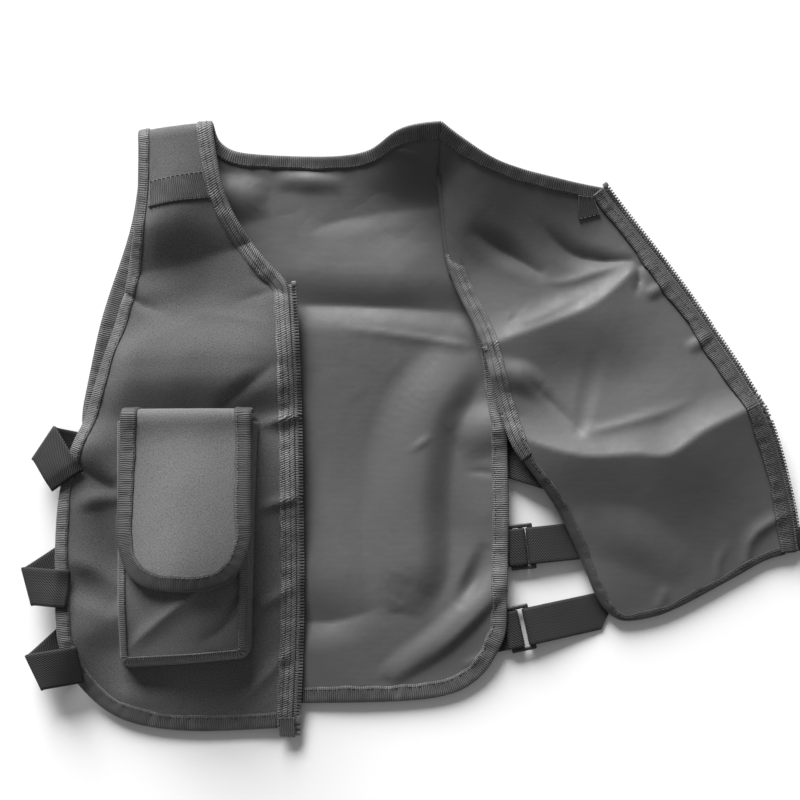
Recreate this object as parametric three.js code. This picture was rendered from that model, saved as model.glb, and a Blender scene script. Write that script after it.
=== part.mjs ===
// A child's tactical vest of black coated nylon, lying on a flat surface with one front panel open.
// Millimetres, +Z up. X runs across the vest, Y from hem to shoulders.
// The origin is the bottom centre of the whole vest's box.
import * as THREE from 'three';

// Cloth, tape and webbing
const CLOTH = 1.2;
const TAPE = 0.9;
const SEW_GAP = 0.3;
const BINDING_WIDTH = 11;
const WEBBING = 1.4;
const WEBBING_WIDTH = 25;

// Spacing of a ply's points: inside, along its edges and round a tight bend
const FACET = 18;
const EDGE_STEP = 17;
const ROLL_STEP = 4.8;
const CLEAR = { edge: 0.55 * FACET, crest: 0.6 * FACET, grid: 0.72 * FACET };

// Height over which cloth eases on to the surface
const EASE = 4;

// Right shoulder fold: the front ply rolls over this line and meets the back ply at the seam
const ROLL_ARM = [-186, 194];
const ROLL_NECK = [-135, 201];
const ROLL_RADIUS = 9;
const SEAM_GAP = 0.4;
const SEAM_STRIP = 3;
const END_TRIM = 0.5;

// Zip
const TOOTH_PITCH = 3;
const TOOTH_REACH = 6.4;
const TOOTH_ROOT = 4;
const TOOTH_THICK = 2.4;
const ZIP_TAPE_WIDTH = 1.2;
const ZIP_TAPE_THICK = 1;

// Pouch on the right front panel
const POUCH = {
  left: -198, right: -103, top: 2, bottom: -163, corner: 12,
  depth: 20, wall: 1.5, slant: 9, footSlant: 11, crown: 2, lift: 0.8,
};
const FLAP = { middle: -149, halfTop: 43, arch: 2, riser: 36 };

// Sliding strap adjuster: three bars across two slots, in the direction of the strap
const GLIDE = {
  length: 17, width: 31, thick: 3, bar: 3, slot: 5.5, midBar: 2,
  rail: 2.6, chamfer: 2, underside: 2.7, start: 3.5,
};
const STRAP_TUCK = 9;

const COLORS = {
  woven: 0x3c3c3e, lining: 0x5a5a5c, tape: 0x343434, webbing: 0x3a3a3a, plastic: 0x2a2a2b,
};

// The roll's quarter turn, laid flat past the line
const rollOut = new THREE.Vector2(ROLL_ARM[1] - ROLL_NECK[1], ROLL_NECK[0] - ROLL_ARM[0]).normalize();
const QUARTER_ROLL = ROLL_RADIUS * (Math.PI / 2);
const pastRoll = ([x, y]) => [x + rollOut.x * QUARTER_ROLL, y + rollOut.y * QUARTER_ROLL];
const ROLL_ARM_END = pastRoll(ROLL_ARM);
const ROLL_NECK_END = pastRoll(ROLL_NECK);

const ZIP_TOP_RIGHT = [-83, 98];
const SEAM_HIGH = [21, 203];
const SEAM_LOW_BACK = [18.3, 171];
const SEAM_LOW_FRONT = [19.7, 171];

// Finished outlines, each edge a smooth curve through its points, anticlockwise from above
const OUTLINES = {
  right: [
    { edge: 'zip', points: [[-79, -203], [-76.5, -118], [-79, 18], ZIP_TOP_RIGHT] },
    { edge: 'neck', points: [ZIP_TOP_RIGHT, [-107, 124], [-125, 154], [-132, 182], ROLL_NECK] },
    { edge: 'neckRoll', step: ROLL_STEP, points: [ROLL_NECK, ROLL_NECK_END] },
    { edge: 'seam', points: [ROLL_NECK_END, ROLL_ARM_END] },
    { edge: 'armholeRoll', step: ROLL_STEP, points: [ROLL_ARM_END, ROLL_ARM] },
    { edge: 'armhole', points: [ROLL_ARM, [-185, 150], [-186, 95], [-206, 38], [-221, 4]] },
    { edge: 'side', points: [[-221, 4], [-236, -44], [-238, -100], [-235, -147]] },
    { edge: 'hem', points: [[-235, -147], [-223, -174], [-196, -197], [-150, -205.5], [-79, -203]] },
  ],
  back: [
    { edge: 'armhole', points: [[66, 4], [62, 25], [44, 80], [30, 120], [22, 148], SEAM_LOW_BACK] },
    { edge: 'seam', points: [SEAM_LOW_BACK, SEAM_HIGH] },
    { edge: 'neck', points: [SEAM_HIGH, [-8, 201], [-28, 191], [-62, 188], [-118, 191], ROLL_NECK] },
    { edge: 'neckRoll', step: ROLL_STEP, points: [ROLL_NECK, ROLL_NECK_END] },
    { edge: 'farSeam', points: [ROLL_NECK_END, ROLL_ARM_END] },
    { edge: 'armholeRoll', step: ROLL_STEP, points: [ROLL_ARM_END, ROLL_ARM] },
    { edge: 'farArmhole', points: [ROLL_ARM, [-188, 180], [-194, 137], [-213, 72], [-225, 11]] },
    { edge: 'farSide', points: [[-225, 11], [-221, -70], [-218, -145]] },
    {
      edge: 'hem',
      points: [[-218, -145], [-205, -171], [-170, -186], [-74, -187], [13, -184], [47, -170], [65, -141]],
    },
    { edge: 'side', points: [[65, -141], [67, -60], [66, 4]] },
  ],
  left: [
    { edge: 'hem', points: [[142, -133], [173, -127], [222, -102], [242, -91], [262, -86]] },
    { edge: 'zip', points: [[262, -86], [256, -46], [238, 11], [191, 87], [132, 165]] },
    { edge: 'neck', points: [[132, 165], [102, 169], [61, 178], [36, 192], SEAM_HIGH] },
    { edge: 'seam', points: [SEAM_HIGH, SEAM_LOW_FRONT] },
    { edge: 'armhole', points: [SEAM_LOW_FRONT, [21.5, 148], [27, 107], [48, 58], [60, 11], [69, -15]] },
    { edge: 'side', points: [[69, -15], [98, -55], [115, -90], [128, -120], [142, -133]] },
  ],
};

// Heights of the cloth's middle above the surface; below zero it lies flat on it
const HEIGHTS = {
  right: [
    { at: 'zip', rows: [
      [-79, -203, 5], [-79, -187, 7.5], [-77, -150, 9], [-77, -90, 10], [-79, 30, 11], [-83, 96, 12],
    ] },
    { at: 'neck', rows: [[-107, 124, 12], [-125, 154, 17], [-132, 182, 21], [-135, 201, 22]] },
    { at: 'armhole', rows: [
      [-186, 194, 22], [-185, 150, 19], [-186, 95, 14], [-206, 38, 13], [-221, 4, 12.5],
    ] },
    { at: 'side', rows: [[-236, -44, 12.5], [-238, -100, 12.5], [-235, -147, 10]] },
    { at: 'hem', rows: [[-223, -174, 6.5], [-196, -197, 4], [-150, -205, 3.2], [-110, -204, 3.2]] },
    { at: 'shoulder', rows: [
      [-160, 197, 22], [-160, 175, 21], [-155, 150, 18], [-150, 122, 14], [-145, 97, 12.5],
    ] },
    { at: 'chest', rows: [
      [-150, 65, 20], [-150, 36, 26], [-110, 36, 20], [-190, 40, 18], [-150, 10, 20], [-190, 8, 17],
    ] },
    { at: 'pouch', rows: [
      [-198, -20, 19], [-103, -20, 17], [-150, -40, 23], [-198, -90, 21], [-103, -90, 18],
    ] },
    { at: 'belly', rows: [
      [-150, -90, 24], [-150, -130, 23], [-198, -150, 17], [-103, -150, 15], [-150, -166, 19],
    ] },
  ],
  back: [
    { at: 'near side', rows: [
      [66, 4, 8], [67, -60, 8.5], [65, -141, 8.5], [52, -60, 8], [52, -128, 8], [54, 0, 7.5],
    ] },
    { at: 'hem', rows: [
      [47, -170, 5], [13, -184, 4], [-74, -187, 3.2], [-170, -186, 3.8], [-205, -171, 6],
    ] },
    { at: 'hem shelf', rows: [
      [40, -158, 5], [8, -171, 4], [-74, -174, 4], [-165, -172, 4], [-195, -163, 5.5],
    ] },
    { at: 'far side', rows: [
      [-218, -145, 8], [-221, -70, 8], [-225, 11, 7], [-206, -135, 7.5], [-208, -75, 7.5], [-211, -8, 7],
    ] },
    { at: 'far armhole', rows: [
      [-213, 72, 6], [-194, 137, 4.5], [-188, 180, 4], [-186, 194, 4], [-135, 201, 4],
    ] },
    { at: 'neck', rows: [
      [-118, 191, 5.5], [-62, 188, 6.5], [-28, 191, 13], [-8, 201, 32], [8, 203, 41], [21, 203, 44],
    ] },
    { at: 'seam', rows: [[20, 187, 29], [19, 171, 14]] },
    { at: 'armhole', rows: [[19.5, 159, 8], [23, 144, 5.5], [30, 120, 4.5], [44, 80, 4.5], [62, 25, 6]] },
    { at: 'yoke', rows: [
      [0, 180, 17], [-30, 172, 5], [0, 155, 6], [-70, 165, 1], [-140, 160, 1], [-160, 190, 3.5],
    ] },
    { at: 'middle', rows: [
      [-60, 110, -4], [-140, 90, -5], [-10, 40, -5], [-100, 30, -7], [-180, 20, -4], [10, 0, -4],
    ] },
    { at: 'waist', rows: [
      [-60, -60, -7], [-150, -60, -7], [15, -70, -4], [-60, -135, -6], [-150, -135, -6], [10, -135, -4],
    ] },
  ],
  left: [
    { at: 'seam', rows: [[21, 203, 44], [20, 187, 29], [19, 171, 14]] },
    { at: 'neck', rows: [[36, 192, 41], [61, 178, 34], [81, 174, 28], [102, 169, 22], [132, 165, 12]] },
    { at: 'zip', rows: [
      [159, 130, 8], [191, 87, 8], [213, 56, 8], [238, 11, 11], [256, -46, 6.5], [262, -86, 4],
    ] },
    { at: 'hem', rows: [[242, -91, 3.5], [222, -102, 3.5], [173, -127, 3.5], [142, -133, 4]] },
    { at: 'side', rows: [[128, -120, 7], [115, -90, 8.5], [98, -55, 11], [69, -15, 13]] },
    { at: 'armhole', rows: [[60, 11, 14], [48, 58, 14], [27, 107, 13], [20.5, 150, 15.5]] },
    { at: 'bank', rows: [[45, 150, 22], [75, 140, 17], [105, 140, 13], [60, 110, 12], [110, 108, 10]] },
    { at: 'chest', rows: [
      [80, 60, 16], [130, 70, 15], [170, 60, 13], [110, 35, 14], [180, 20, 17], [150, 35, 14],
    ] },
    { at: 'waist', rows: [
      [110, -10, 24], [150, -15, 27], [195, -10, 24], [150, -60, 17], [200, -60, 13], [225, -40, 12],
    ] },
  ],
};

// Folds and ridges: a rounded ridge along a line, or a valley where the height is below zero
const FOLDS = {
  right: [
    { fold: 'chest ridge', x0: -205, y0: 30, x1: -95, y1: 38, width: 24, height: 4 },
    { fold: 'strap valley', x0: -180, y0: 118, x1: -120, y1: 112, width: 26, height: -3 },
  ],
  back: [
    { fold: 'yoke ridge', x0: -68, y0: 128, x1: -4, y1: 144, width: 20, height: 9 },
    { fold: 'upper rib', x0: -68, y0: 84, x1: 14, y1: 82, width: 12, height: 8 },
    { fold: 'lower rib', x0: -66, y0: 64, x1: 23, y1: 62, width: 13, height: 8.5 },
    { fold: 'upright ridge', x0: 24, y0: 44, x1: 8, y1: -40, width: 22, height: 8 },
    { fold: 'hem ridge', x0: 50, y0: -118, x1: -18, y1: -176, width: 20, height: 9 },
  ],
  left: [
    { fold: 'slant ridge', x0: 60, y0: 66, x1: 150, y1: 104, width: 22, height: 9 },
    { fold: 'waist ridge', x0: 82, y0: -6, x1: 235, y1: 4, width: 26, height: 5 },
    { fold: 'bank crease', x0: 60, y0: 145, x1: 100, y1: 112, width: 14, height: 4 },
  ],
};

// Straps on the open side: where each leaves the back's edge, its heading, the front's edge and its tail
const OPEN_STRAPS = [
  { name: 'upper', x: 63, y: -21, heading: -18, reach: 33, tail: 0 },
  { name: 'middle', x: 66.5, y: -83, heading: 6, reach: 51, tail: 38 },
  { name: 'lower', x: 65, y: -139, heading: 12, reach: 67, tail: 58 },
];

// Straps on the closed side fold once: sewn end, crease and the back's edge, as plan points
const FOLDED_STRAPS = [
  {
    name: 'upper', endX: -230, endY: -38, creaseX: -247, creaseY: -13,
    backX: -224, backY: -17, creaseZ: 5,
  },
  {
    name: 'middle', endX: -228, endY: -110, creaseX: -255, creaseY: -108,
    backX: -221, backY: -83, creaseZ: 6,
  },
  {
    name: 'lower', endX: -220, endY: -160, creaseX: -250, creaseY: -165,
    backX: -218.5, backY: -134, creaseZ: 6,
  },
];
const CREASE_RADIUS = 2.4;
const CREASE_TURN = [0, 45, 90, 135, 180];
const SEWN_LENGTHS = [0, 5, 10];

const vec = (x, y, z = 0) => new THREE.Vector3(x, y, z);
const mix = THREE.MathUtils.lerp;

// Smooth maximum: equal to the floor wherever the value is more than EASE below it
function restOn(value, floor) {
  const overlap = Math.max(EASE - Math.abs(value - floor), 0);
  return Math.max(value, floor) + (overlap * overlap) / (4 * EASE);
}

// Solves a dense linear system by elimination with row exchange
function solve(matrix, right) {
  const size = right.length;
  for (let col = 0; col < size; col++) {
    let pivot = col;
    for (let row = col + 1; row < size; row++) {
      if (Math.abs(matrix[row][col]) > Math.abs(matrix[pivot][col])) pivot = row;
    }
    [matrix[col], matrix[pivot]] = [matrix[pivot], matrix[col]];
    [right[col], right[pivot]] = [right[pivot], right[col]];
    for (let row = col + 1; row < size; row++) {
      const share = matrix[row][col] / matrix[col][col];
      for (let k = col; k < size; k++) matrix[row][k] -= share * matrix[col][k];
      right[row] -= share * right[col];
    }
  }
  for (let row = size - 1; row >= 0; row--) {
    for (let k = row + 1; k < size; k++) right[row] -= matrix[row][k] * right[k];
    right[row] /= matrix[row][row];
  }
  return right;
}

// Thin-plate surface through the height rows, with the folds laid on it
function heightField(groups, folds, floor) {
  const SCALE = 0.01;
  const rows = groups.flatMap((group) => group.rows);
  const count = rows.length;
  const kernel = (dx, dy) => {
    const square = (dx * dx + dy * dy) * SCALE * SCALE;
    return square > 0 ? 0.5 * square * Math.log(square) : 0;
  };
  const matrix = rows.map(([x, y]) => [
    ...rows.map(([u, v]) => kernel(x - u, y - v)), 1, x * SCALE, y * SCALE,
  ]);
  for (let i = 0; i < 3; i++) {
    matrix.push([...rows.map(([x, y]) => [1, x * SCALE, y * SCALE][i]), 0, 0, 0]);
  }
  const weights = solve(matrix, [...rows.map((row) => row[2]), 0, 0, 0]);
  return (x, y) => {
    let z = weights[count] + weights[count + 1] * x * SCALE + weights[count + 2] * y * SCALE;
    rows.forEach(([u, v], i) => { z += weights[i] * kernel(x - u, y - v); });
    z = restOn(z, floor);
    for (const fold of folds) z += foldHeight(fold, x, y);
    return z;
  };
}

function foldHeight({ x0, y0, x1, y1, width, height }, x, y) {
  const span = (x1 - x0) ** 2 + (y1 - y0) ** 2;
  const along = THREE.MathUtils.clamp(((x - x0) * (x1 - x0) + (y - y0) * (y1 - y0)) / span, 0, 1);
  const off = Math.hypot(x - mix(x0, x1, along), y - mix(y0, y1, along)) / width;
  return off < 1 ? height * (1 - off * off) ** 2 : 0;
}

// Rolls the cloth past the shoulder line round a half fold; sense is 1 downwards and -1 upwards
function rolled(height, sense) {
  return (u, v) => {
    const past = (u - ROLL_ARM[0]) * rollOut.x + (v - ROLL_ARM[1]) * rollOut.y;
    if (past <= 0) return vec(u, v, height(u, v));
    const turn = past / ROLL_RADIUS;
    const reach = ROLL_RADIUS * Math.sin(turn) - past;
    const foot = height(u - past * rollOut.x, v - past * rollOut.y);
    const drop = ROLL_RADIUS * (1 - Math.cos(turn));
    return vec(u + reach * rollOut.x, v + reach * rollOut.y, foot - sense * drop);
  };
}

// Unit normal of a mapped ply at a plan point
function normalAt(map, x, y) {
  const STEP = 0.5;
  const dx = map(x + STEP, y).sub(map(x - STEP, y));
  return dx.cross(map(x, y + STEP).sub(map(x, y - STEP))).normalize();
}

// Closed outline as plan points, each remembering the edge it starts
function sampleOutline(edges) {
  return edges.flatMap(({ edge, points, step = EDGE_STEP }) => {
    const curve = new THREE.SplineCurve(points.map(([x, y]) => new THREE.Vector2(x, y)));
    const pieces = Math.max(2, Math.round(curve.getLength() / step));
    return curve.getSpacedPoints(pieces).slice(0, -1).map((p) => ({ x: p.x, y: p.y, edge }));
  });
}

// Moves a closed outline inwards by each edge's own distance, mitred at its corners
function inset(ring, distance) {
  const LEAST_MITRE = 0.35;
  return ring.map((p, i) => {
    const before = ring[(i + ring.length - 1) % ring.length];
    const after = ring[(i + 1) % ring.length];
    const inA = vec(before.y - p.y, p.x - before.x).normalize();
    const inB = vec(p.y - after.y, after.x - p.x).normalize();
    const [farA, farB] = [distance(before.edge), distance(p.edge)];
    const twist = inA.x * inB.y - inA.y * inB.x;
    if (Math.abs(twist) < LEAST_MITRE) {
      const middle = inA.clone().add(inB).normalize();
      return { x: p.x + middle.x * farB, y: p.y + middle.y * farB };
    }
    const x = (farA * inB.y - farB * inA.y) / twist;
    const y = (farB * inA.x - farA * inB.x) / twist;
    return { x: p.x + x, y: p.y + y };
  });
}

function insideRing(ring, x, y) {
  let inside = false;
  ring.forEach((a, i) => {
    const b = ring[(i + 1) % ring.length];
    if ((a.y > y) !== (b.y > y) && x < a.x + ((b.x - a.x) * (y - a.y)) / (b.y - a.y)) inside = !inside;
  });
  return inside;
}

function ringDistance(ring, x, y) {
  return ring.reduce((least, a, i) => {
    const b = ring[(i + 1) % ring.length];
    const span = (b.x - a.x) ** 2 + (b.y - a.y) ** 2;
    const t = THREE.MathUtils.clamp(((x - a.x) * (b.x - a.x) + (y - a.y) * (b.y - a.y)) / span, 0, 1);
    return Math.min(least, Math.hypot(x - mix(a.x, b.x, t), y - mix(a.y, b.y, t)));
  }, Infinity);
}

// Points inside a ring: given seeds and the fold crests first, then a staggered grid between them
function fillPoints(ring, folds, seeds) {
  const points = [...seeds];
  const tryPoint = (x, y, clear) => {
    const crowded = points.some((p) => Math.hypot(p.x - x, p.y - y) < clear);
    const within = insideRing(ring, x, y) && ringDistance(ring, x, y) > CLEAR.edge;
    if (within && !crowded) points.push({ x, y });
  };
  for (const { x0, y0, x1, y1 } of folds) {
    const pieces = Math.max(1, Math.round(Math.hypot(x1 - x0, y1 - y0) / FACET));
    for (let i = 0; i <= pieces; i++) {
      tryPoint(mix(x0, x1, i / pieces), mix(y0, y1, i / pieces), CLEAR.crest);
    }
  }
  const xs = ring.map((p) => p.x);
  const ys = ring.map((p) => p.y);
  const rowStep = FACET * Math.sqrt(0.75);
  let stagger = 0;
  for (let y = Math.min(...ys); y < Math.max(...ys); y += rowStep) {
    for (let x = Math.min(...xs) + stagger; x < Math.max(...xs); x += FACET) tryPoint(x, y, CLEAR.grid);
    stagger = FACET / 2 - stagger;
  }
  return points;
}

// Delaunay triangles of plan points, by adding one point at a time
function delaunay(points) {
  const FAR = 1e5;
  const all = [...points, { x: -FAR, y: -FAR }, { x: FAR, y: -FAR }, { x: 0, y: FAR }];
  const circle = (a, b, c) => {
    const [p, q, r] = [all[a], all[b], all[c]];
    const d = 2 * (p.x * (q.y - r.y) + q.x * (r.y - p.y) + r.x * (p.y - q.y));
    const [pp, qq, rr] = [p, q, r].map((s) => s.x * s.x + s.y * s.y);
    const x = (pp * (q.y - r.y) + qq * (r.y - p.y) + rr * (p.y - q.y)) / d;
    const y = (pp * (r.x - q.x) + qq * (p.x - r.x) + rr * (q.x - p.x)) / d;
    return { corners: [a, b, c], x, y, square: (p.x - x) ** 2 + (p.y - y) ** 2 };
  };
  const first = points.length;
  let triangles = [circle(first, first + 1, first + 2)];
  points.forEach((p, index) => {
    const hit = triangles.filter((t) => (p.x - t.x) ** 2 + (p.y - t.y) ** 2 < t.square);
    const rim = new Map();
    for (const { corners } of hit) {
      corners.forEach((a, k) => {
        const b = corners[(k + 1) % 3];
        if (!rim.delete(`${b},${a}`)) rim.set(`${a},${b}`, [a, b]);
      });
    }
    triangles = triangles.filter((t) => !hit.includes(t));
    for (const [a, b] of rim.values()) triangles.push(circle(a, b, index));
  });
  return triangles.map((t) => t.corners).filter((t) => t.every((i) => i < first));
}

// Closed body from vertices and triangles, turned so that its faces point out
function solidFrom(vertices, triangles) {
  const volume = triangles.reduce((sum, [a, b, c]) => (
    sum + vertices[a].dot(vertices[b].clone().cross(vertices[c]))
  ), 0);
  const faces = volume > 0 ? triangles : triangles.map(([a, b, c]) => [a, c, b]);
  const geometry = new THREE.BufferGeometry();
  const positions = vertices.flatMap((v) => [v.x, v.y, v.z]);
  geometry.setAttribute('position', new THREE.Float32BufferAttribute(positions, 3));
  geometry.setIndex(faces.flat());
  geometry.computeVertexNormals();
  return geometry;
}

// A ply of cloth: finished outline, cloth edge, inner line of the binding and the filled middle
function makePly(edges, map, folds, seeds = []) {
  const outline = sampleOutline(edges);
  const count = outline.length;
  const isSeam = (edge) => edge.toLowerCase().endsWith('seam');
  const cloth = inset(outline, (edge) => (isSeam(edge) ? SEAM_GAP / 2 : TAPE + SEW_GAP));
  const inner = inset(outline, (edge) => (isSeam(edge) ? SEAM_STRIP : BINDING_WIDTH));
  const fill = fillPoints(inner, folds, seeds);
  const plan = [...cloth, ...inner, ...fill];
  const triangles = [];
  for (let i = 0; i < count; i++) {
    const next = (i + 1) % count;
    triangles.push([i, next, count + next], [i, count + next, count + i]);
  }
  const middle = [...inner, ...fill];
  for (const [a, b, c] of delaunay(middle)) {
    const x = (middle[a].x + middle[b].x + middle[c].x) / 3;
    const y = (middle[a].y + middle[b].y + middle[c].y) / 3;
    if (insideRing(inner, x, y)) triangles.push([a + count, b + count, c + count]);
  }
  const points = plan.map(({ x, y }) => map(x, y));
  const normals = plan.map(({ x, y }) => normalAt(map, x, y));
  return { outline, count, points, normals, triangles };
}

// The ply as a closed wall, half its thickness to each side
function plySolid({ count, points, normals, triangles }) {
  const half = CLOTH / 2;
  const top = points.map((p, i) => p.clone().addScaledVector(normals[i], half));
  const under = points.map((p, i) => p.clone().addScaledVector(normals[i], -half));
  const shift = points.length;
  const faces = triangles.flatMap(([a, b, c]) => [[a, b, c], [a + shift, c + shift, b + shift]]);
  for (let i = 0; i < count; i++) {
    const next = (i + 1) % count;
    faces.push([i, i + shift, next + shift], [i, next + shift, next]);
  }
  return solidFrom([...top, ...under], faces);
}

// Sections along a run of edges: cloth edge, inner line, their normals and the way out
function sectionsAlong(ply, names) {
  const { outline, count, points, normals } = ply;
  const before = (i) => outline[(i + count - 1) % count];
  const start = outline.findIndex((p, i) => p.edge === names[0] && before(i).edge !== names[0]);
  const length = outline.filter((p) => names.includes(p.edge)).length;
  return Array.from({ length: length + 1 }, (_, k) => {
    const i = (start + k) % count;
    const edge = points[i];
    const inner = points[i + count];
    const out = edge.clone().sub(inner).normalize();
    return { edge, inner, edgeNormal: normals[i], innerNormal: normals[i + count], out };
  });
}

// The first and last sections pull back a little, so that neighbouring tapes stay clear
function trimmed(sections) {
  const last = sections.length - 1;
  const blend = (a, b) => {
    const share = END_TRIM / a.edge.distanceTo(b.edge);
    return Object.fromEntries(Object.keys(a).map((key) => [key, a[key].clone().lerp(b[key], share)]));
  };
  return sections.map((section, i) => {
    if (i === 0) return blend(section, sections[1]);
    return i === last ? blend(section, sections[last - 1]) : section;
  });
}

// Joins rings of equal length into a closed body; caps are quads of ring positions,
// and the strips named in `turned` are split along their other diagonal
function loft(rings, caps, turned = []) {
  const size = rings[0].length;
  const faces = [];
  for (let k = 0; k + 1 < rings.length; k++) {
    for (let i = 0; i < size; i++) {
      const [a, b] = [k * size + i, k * size + ((i + 1) % size)];
      if (turned.includes(i)) faces.push([a, a + size, b], [b, a + size, b + size]);
      else faces.push([a, a + size, b + size], [a, b + size, b]);
    }
  }
  const end = (rings.length - 1) * size;
  for (const [a, b, c, d] of caps) {
    faces.push([a, b, c], [a, c, d]);
    faces.push([end + a, end + c, end + b], [end + a, end + d, end + c]);
  }
  return solidFrom(rings.flat(), faces);
}

// Folded tape round an edge, open towards the cloth
function bindingSolid(ply, names) {
  const inside = CLOTH / 2 + SEW_GAP;
  const outside = inside + TAPE;
  const at = (point, normal, lift, out = null, reach = 0) => {
    const moved = point.clone().addScaledVector(normal, lift);
    return out ? moved.addScaledVector(out, reach) : moved;
  };
  const sections = trimmed(sectionsAlong(ply, names));
  const rings = sections.map(({ edge, inner, edgeNormal, innerNormal, out }) => [
    at(inner, innerNormal, outside),
    at(edge, edgeNormal, outside, out, SEW_GAP + TAPE),
    at(edge, edgeNormal, -outside, out, SEW_GAP + TAPE),
    at(inner, innerNormal, -outside),
    at(inner, innerNormal, -inside),
    at(edge, edgeNormal, -inside, out, SEW_GAP),
    at(edge, edgeNormal, inside, out, SEW_GAP),
    at(inner, innerNormal, inside),
  ]);
  return loft(rings, [[0, 1, 6, 7], [1, 2, 5, 6], [2, 3, 4, 5]], [0, 4]);
}

// Flat tape beyond a bound edge, from one distance past the cloth edge to another
function tapeSolid(sections, from, to, thick) {
  const half = thick / 2;
  const corners = [[from, half], [to, half], [to, -half], [from, -half]];
  const rings = sections.map(({ edge, edgeNormal, out }) => corners.map(
    ([reach, lift]) => edge.clone().addScaledVector(out, reach).addScaledVector(edgeNormal, lift),
  ));
  return loft(rings, [[0, 1, 2, 3]]);
}

// The same sections with their way out square to the run
function squared(sections) {
  const last = sections.length - 1;
  return sections.map((section, k) => {
    const run = sections[Math.min(last, k + 1)].edge.clone().sub(sections[Math.max(0, k - 1)].edge);
    return { ...section, out: run.cross(section.edgeNormal).normalize() };
  });
}

function runLength(sections) {
  return sections.reduce((sum, s, k) => (k ? sum + s.edge.distanceTo(sections[k - 1].edge) : 0), 0);
}

// Place along a run of sections at a distance from its start
function sectionAt(sections, distance) {
  let left = distance;
  let k = 0;
  while (k + 2 < sections.length && left > sections[k].edge.distanceTo(sections[k + 1].edge)) {
    left -= sections[k].edge.distanceTo(sections[k + 1].edge);
    k += 1;
  }
  const share = left / sections[k].edge.distanceTo(sections[k + 1].edge);
  const blend = (key) => sections[k][key].clone().lerp(sections[k + 1][key], share);
  return { edge: blend('edge'), edgeNormal: blend('edgeNormal'), out: blend('out') };
}

// One row of zip teeth: pointed teeth on a continuous spine
function teethSolid(sections, from, start) {
  const teeth = Math.floor((runLength(sections) - start) / TOOTH_PITCH) - 1;
  const vertices = [];
  const faces = [];
  const add = (distance, reach) => {
    const { edge, edgeNormal, out } = sectionAt(sections, distance);
    const point = edge.clone().addScaledVector(out, reach);
    vertices.push(point.clone().addScaledVector(edgeNormal, TOOTH_THICK / 2));
    vertices.push(point.clone().addScaledVector(edgeNormal, -TOOTH_THICK / 2));
    return vertices.length - 2;
  };
  const wall = (a, b) => faces.push([a, a + 1, b + 1], [a, b + 1, b]);
  const both = (a, b, c) => faces.push([a, b, c], [a + 1, c + 1, b + 1]);
  let spine = add(start, from);
  let root = add(start, TOOTH_ROOT);
  wall(spine, root);
  for (let i = 0; i < teeth; i++) {
    const tip = add(start + (i + 0.5) * TOOTH_PITCH, TOOTH_REACH);
    const nextSpine = add(start + (i + 1) * TOOTH_PITCH, from);
    const nextRoot = add(start + (i + 1) * TOOTH_PITCH, TOOTH_ROOT);
    both(root, tip, nextRoot);
    both(spine, root, nextRoot);
    both(spine, nextRoot, nextSpine);
    wall(root, tip);
    wall(tip, nextRoot);
    wall(nextSpine, spine);
    spine = nextSpine;
    root = nextRoot;
  }
  wall(root, spine);
  return solidFrom(vertices, faces);
}

// Webbing over rails of equal length that run along it side by side, thickened square to its run
function webbingSolid(rails) {
  const last = rails[0].length - 1;
  const wide = rails.length;
  const middle = (k) => rails[0][k].clone().add(rails[wide - 1][k]).multiplyScalar(0.5);
  const rings = rails[0].map((_, k) => {
    const lateral = rails[wide - 1][k].clone().sub(rails[0][k]).normalize();
    const stepIn = k > 0 ? middle(k).sub(middle(k - 1)).normalize() : null;
    const stepOut = k < last ? middle(k + 1).sub(middle(k)).normalize() : null;
    const run = (stepIn ?? stepOut).clone().add(stepOut ?? stepIn).normalize();
    const normal = lateral.cross(run).normalize();
    const lift = WEBBING / 2 / Math.max(0.6, run.dot(stepIn ?? stepOut));
    const face = (side) => rails.map((rail) => rail[k].clone().addScaledVector(normal, side * lift));
    return [...face(1), ...face(-1).reverse()];
  });
  const caps = Array.from({ length: wide - 1 }, (_, i) => [i, i + 1, 2 * wide - 2 - i, 2 * wide - 1 - i]);
  return loft(rings, caps);
}

// A strap seen from its side: distance along the heading and height, the same across its width
function profileStrap({ x, y, heading }, profile) {
  const angle = THREE.MathUtils.degToRad(heading);
  const along = vec(Math.cos(angle), Math.sin(angle));
  const across = vec(-Math.sin(angle), Math.cos(angle));
  const rail = (off) => profile.map(
    ([s, z]) => vec(x, y, z).addScaledVector(along, s).addScaledVector(across, off),
  );
  return webbingSolid([rail(-WEBBING_WIDTH / 2), rail(WEBBING_WIDTH / 2)]);
}

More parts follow.
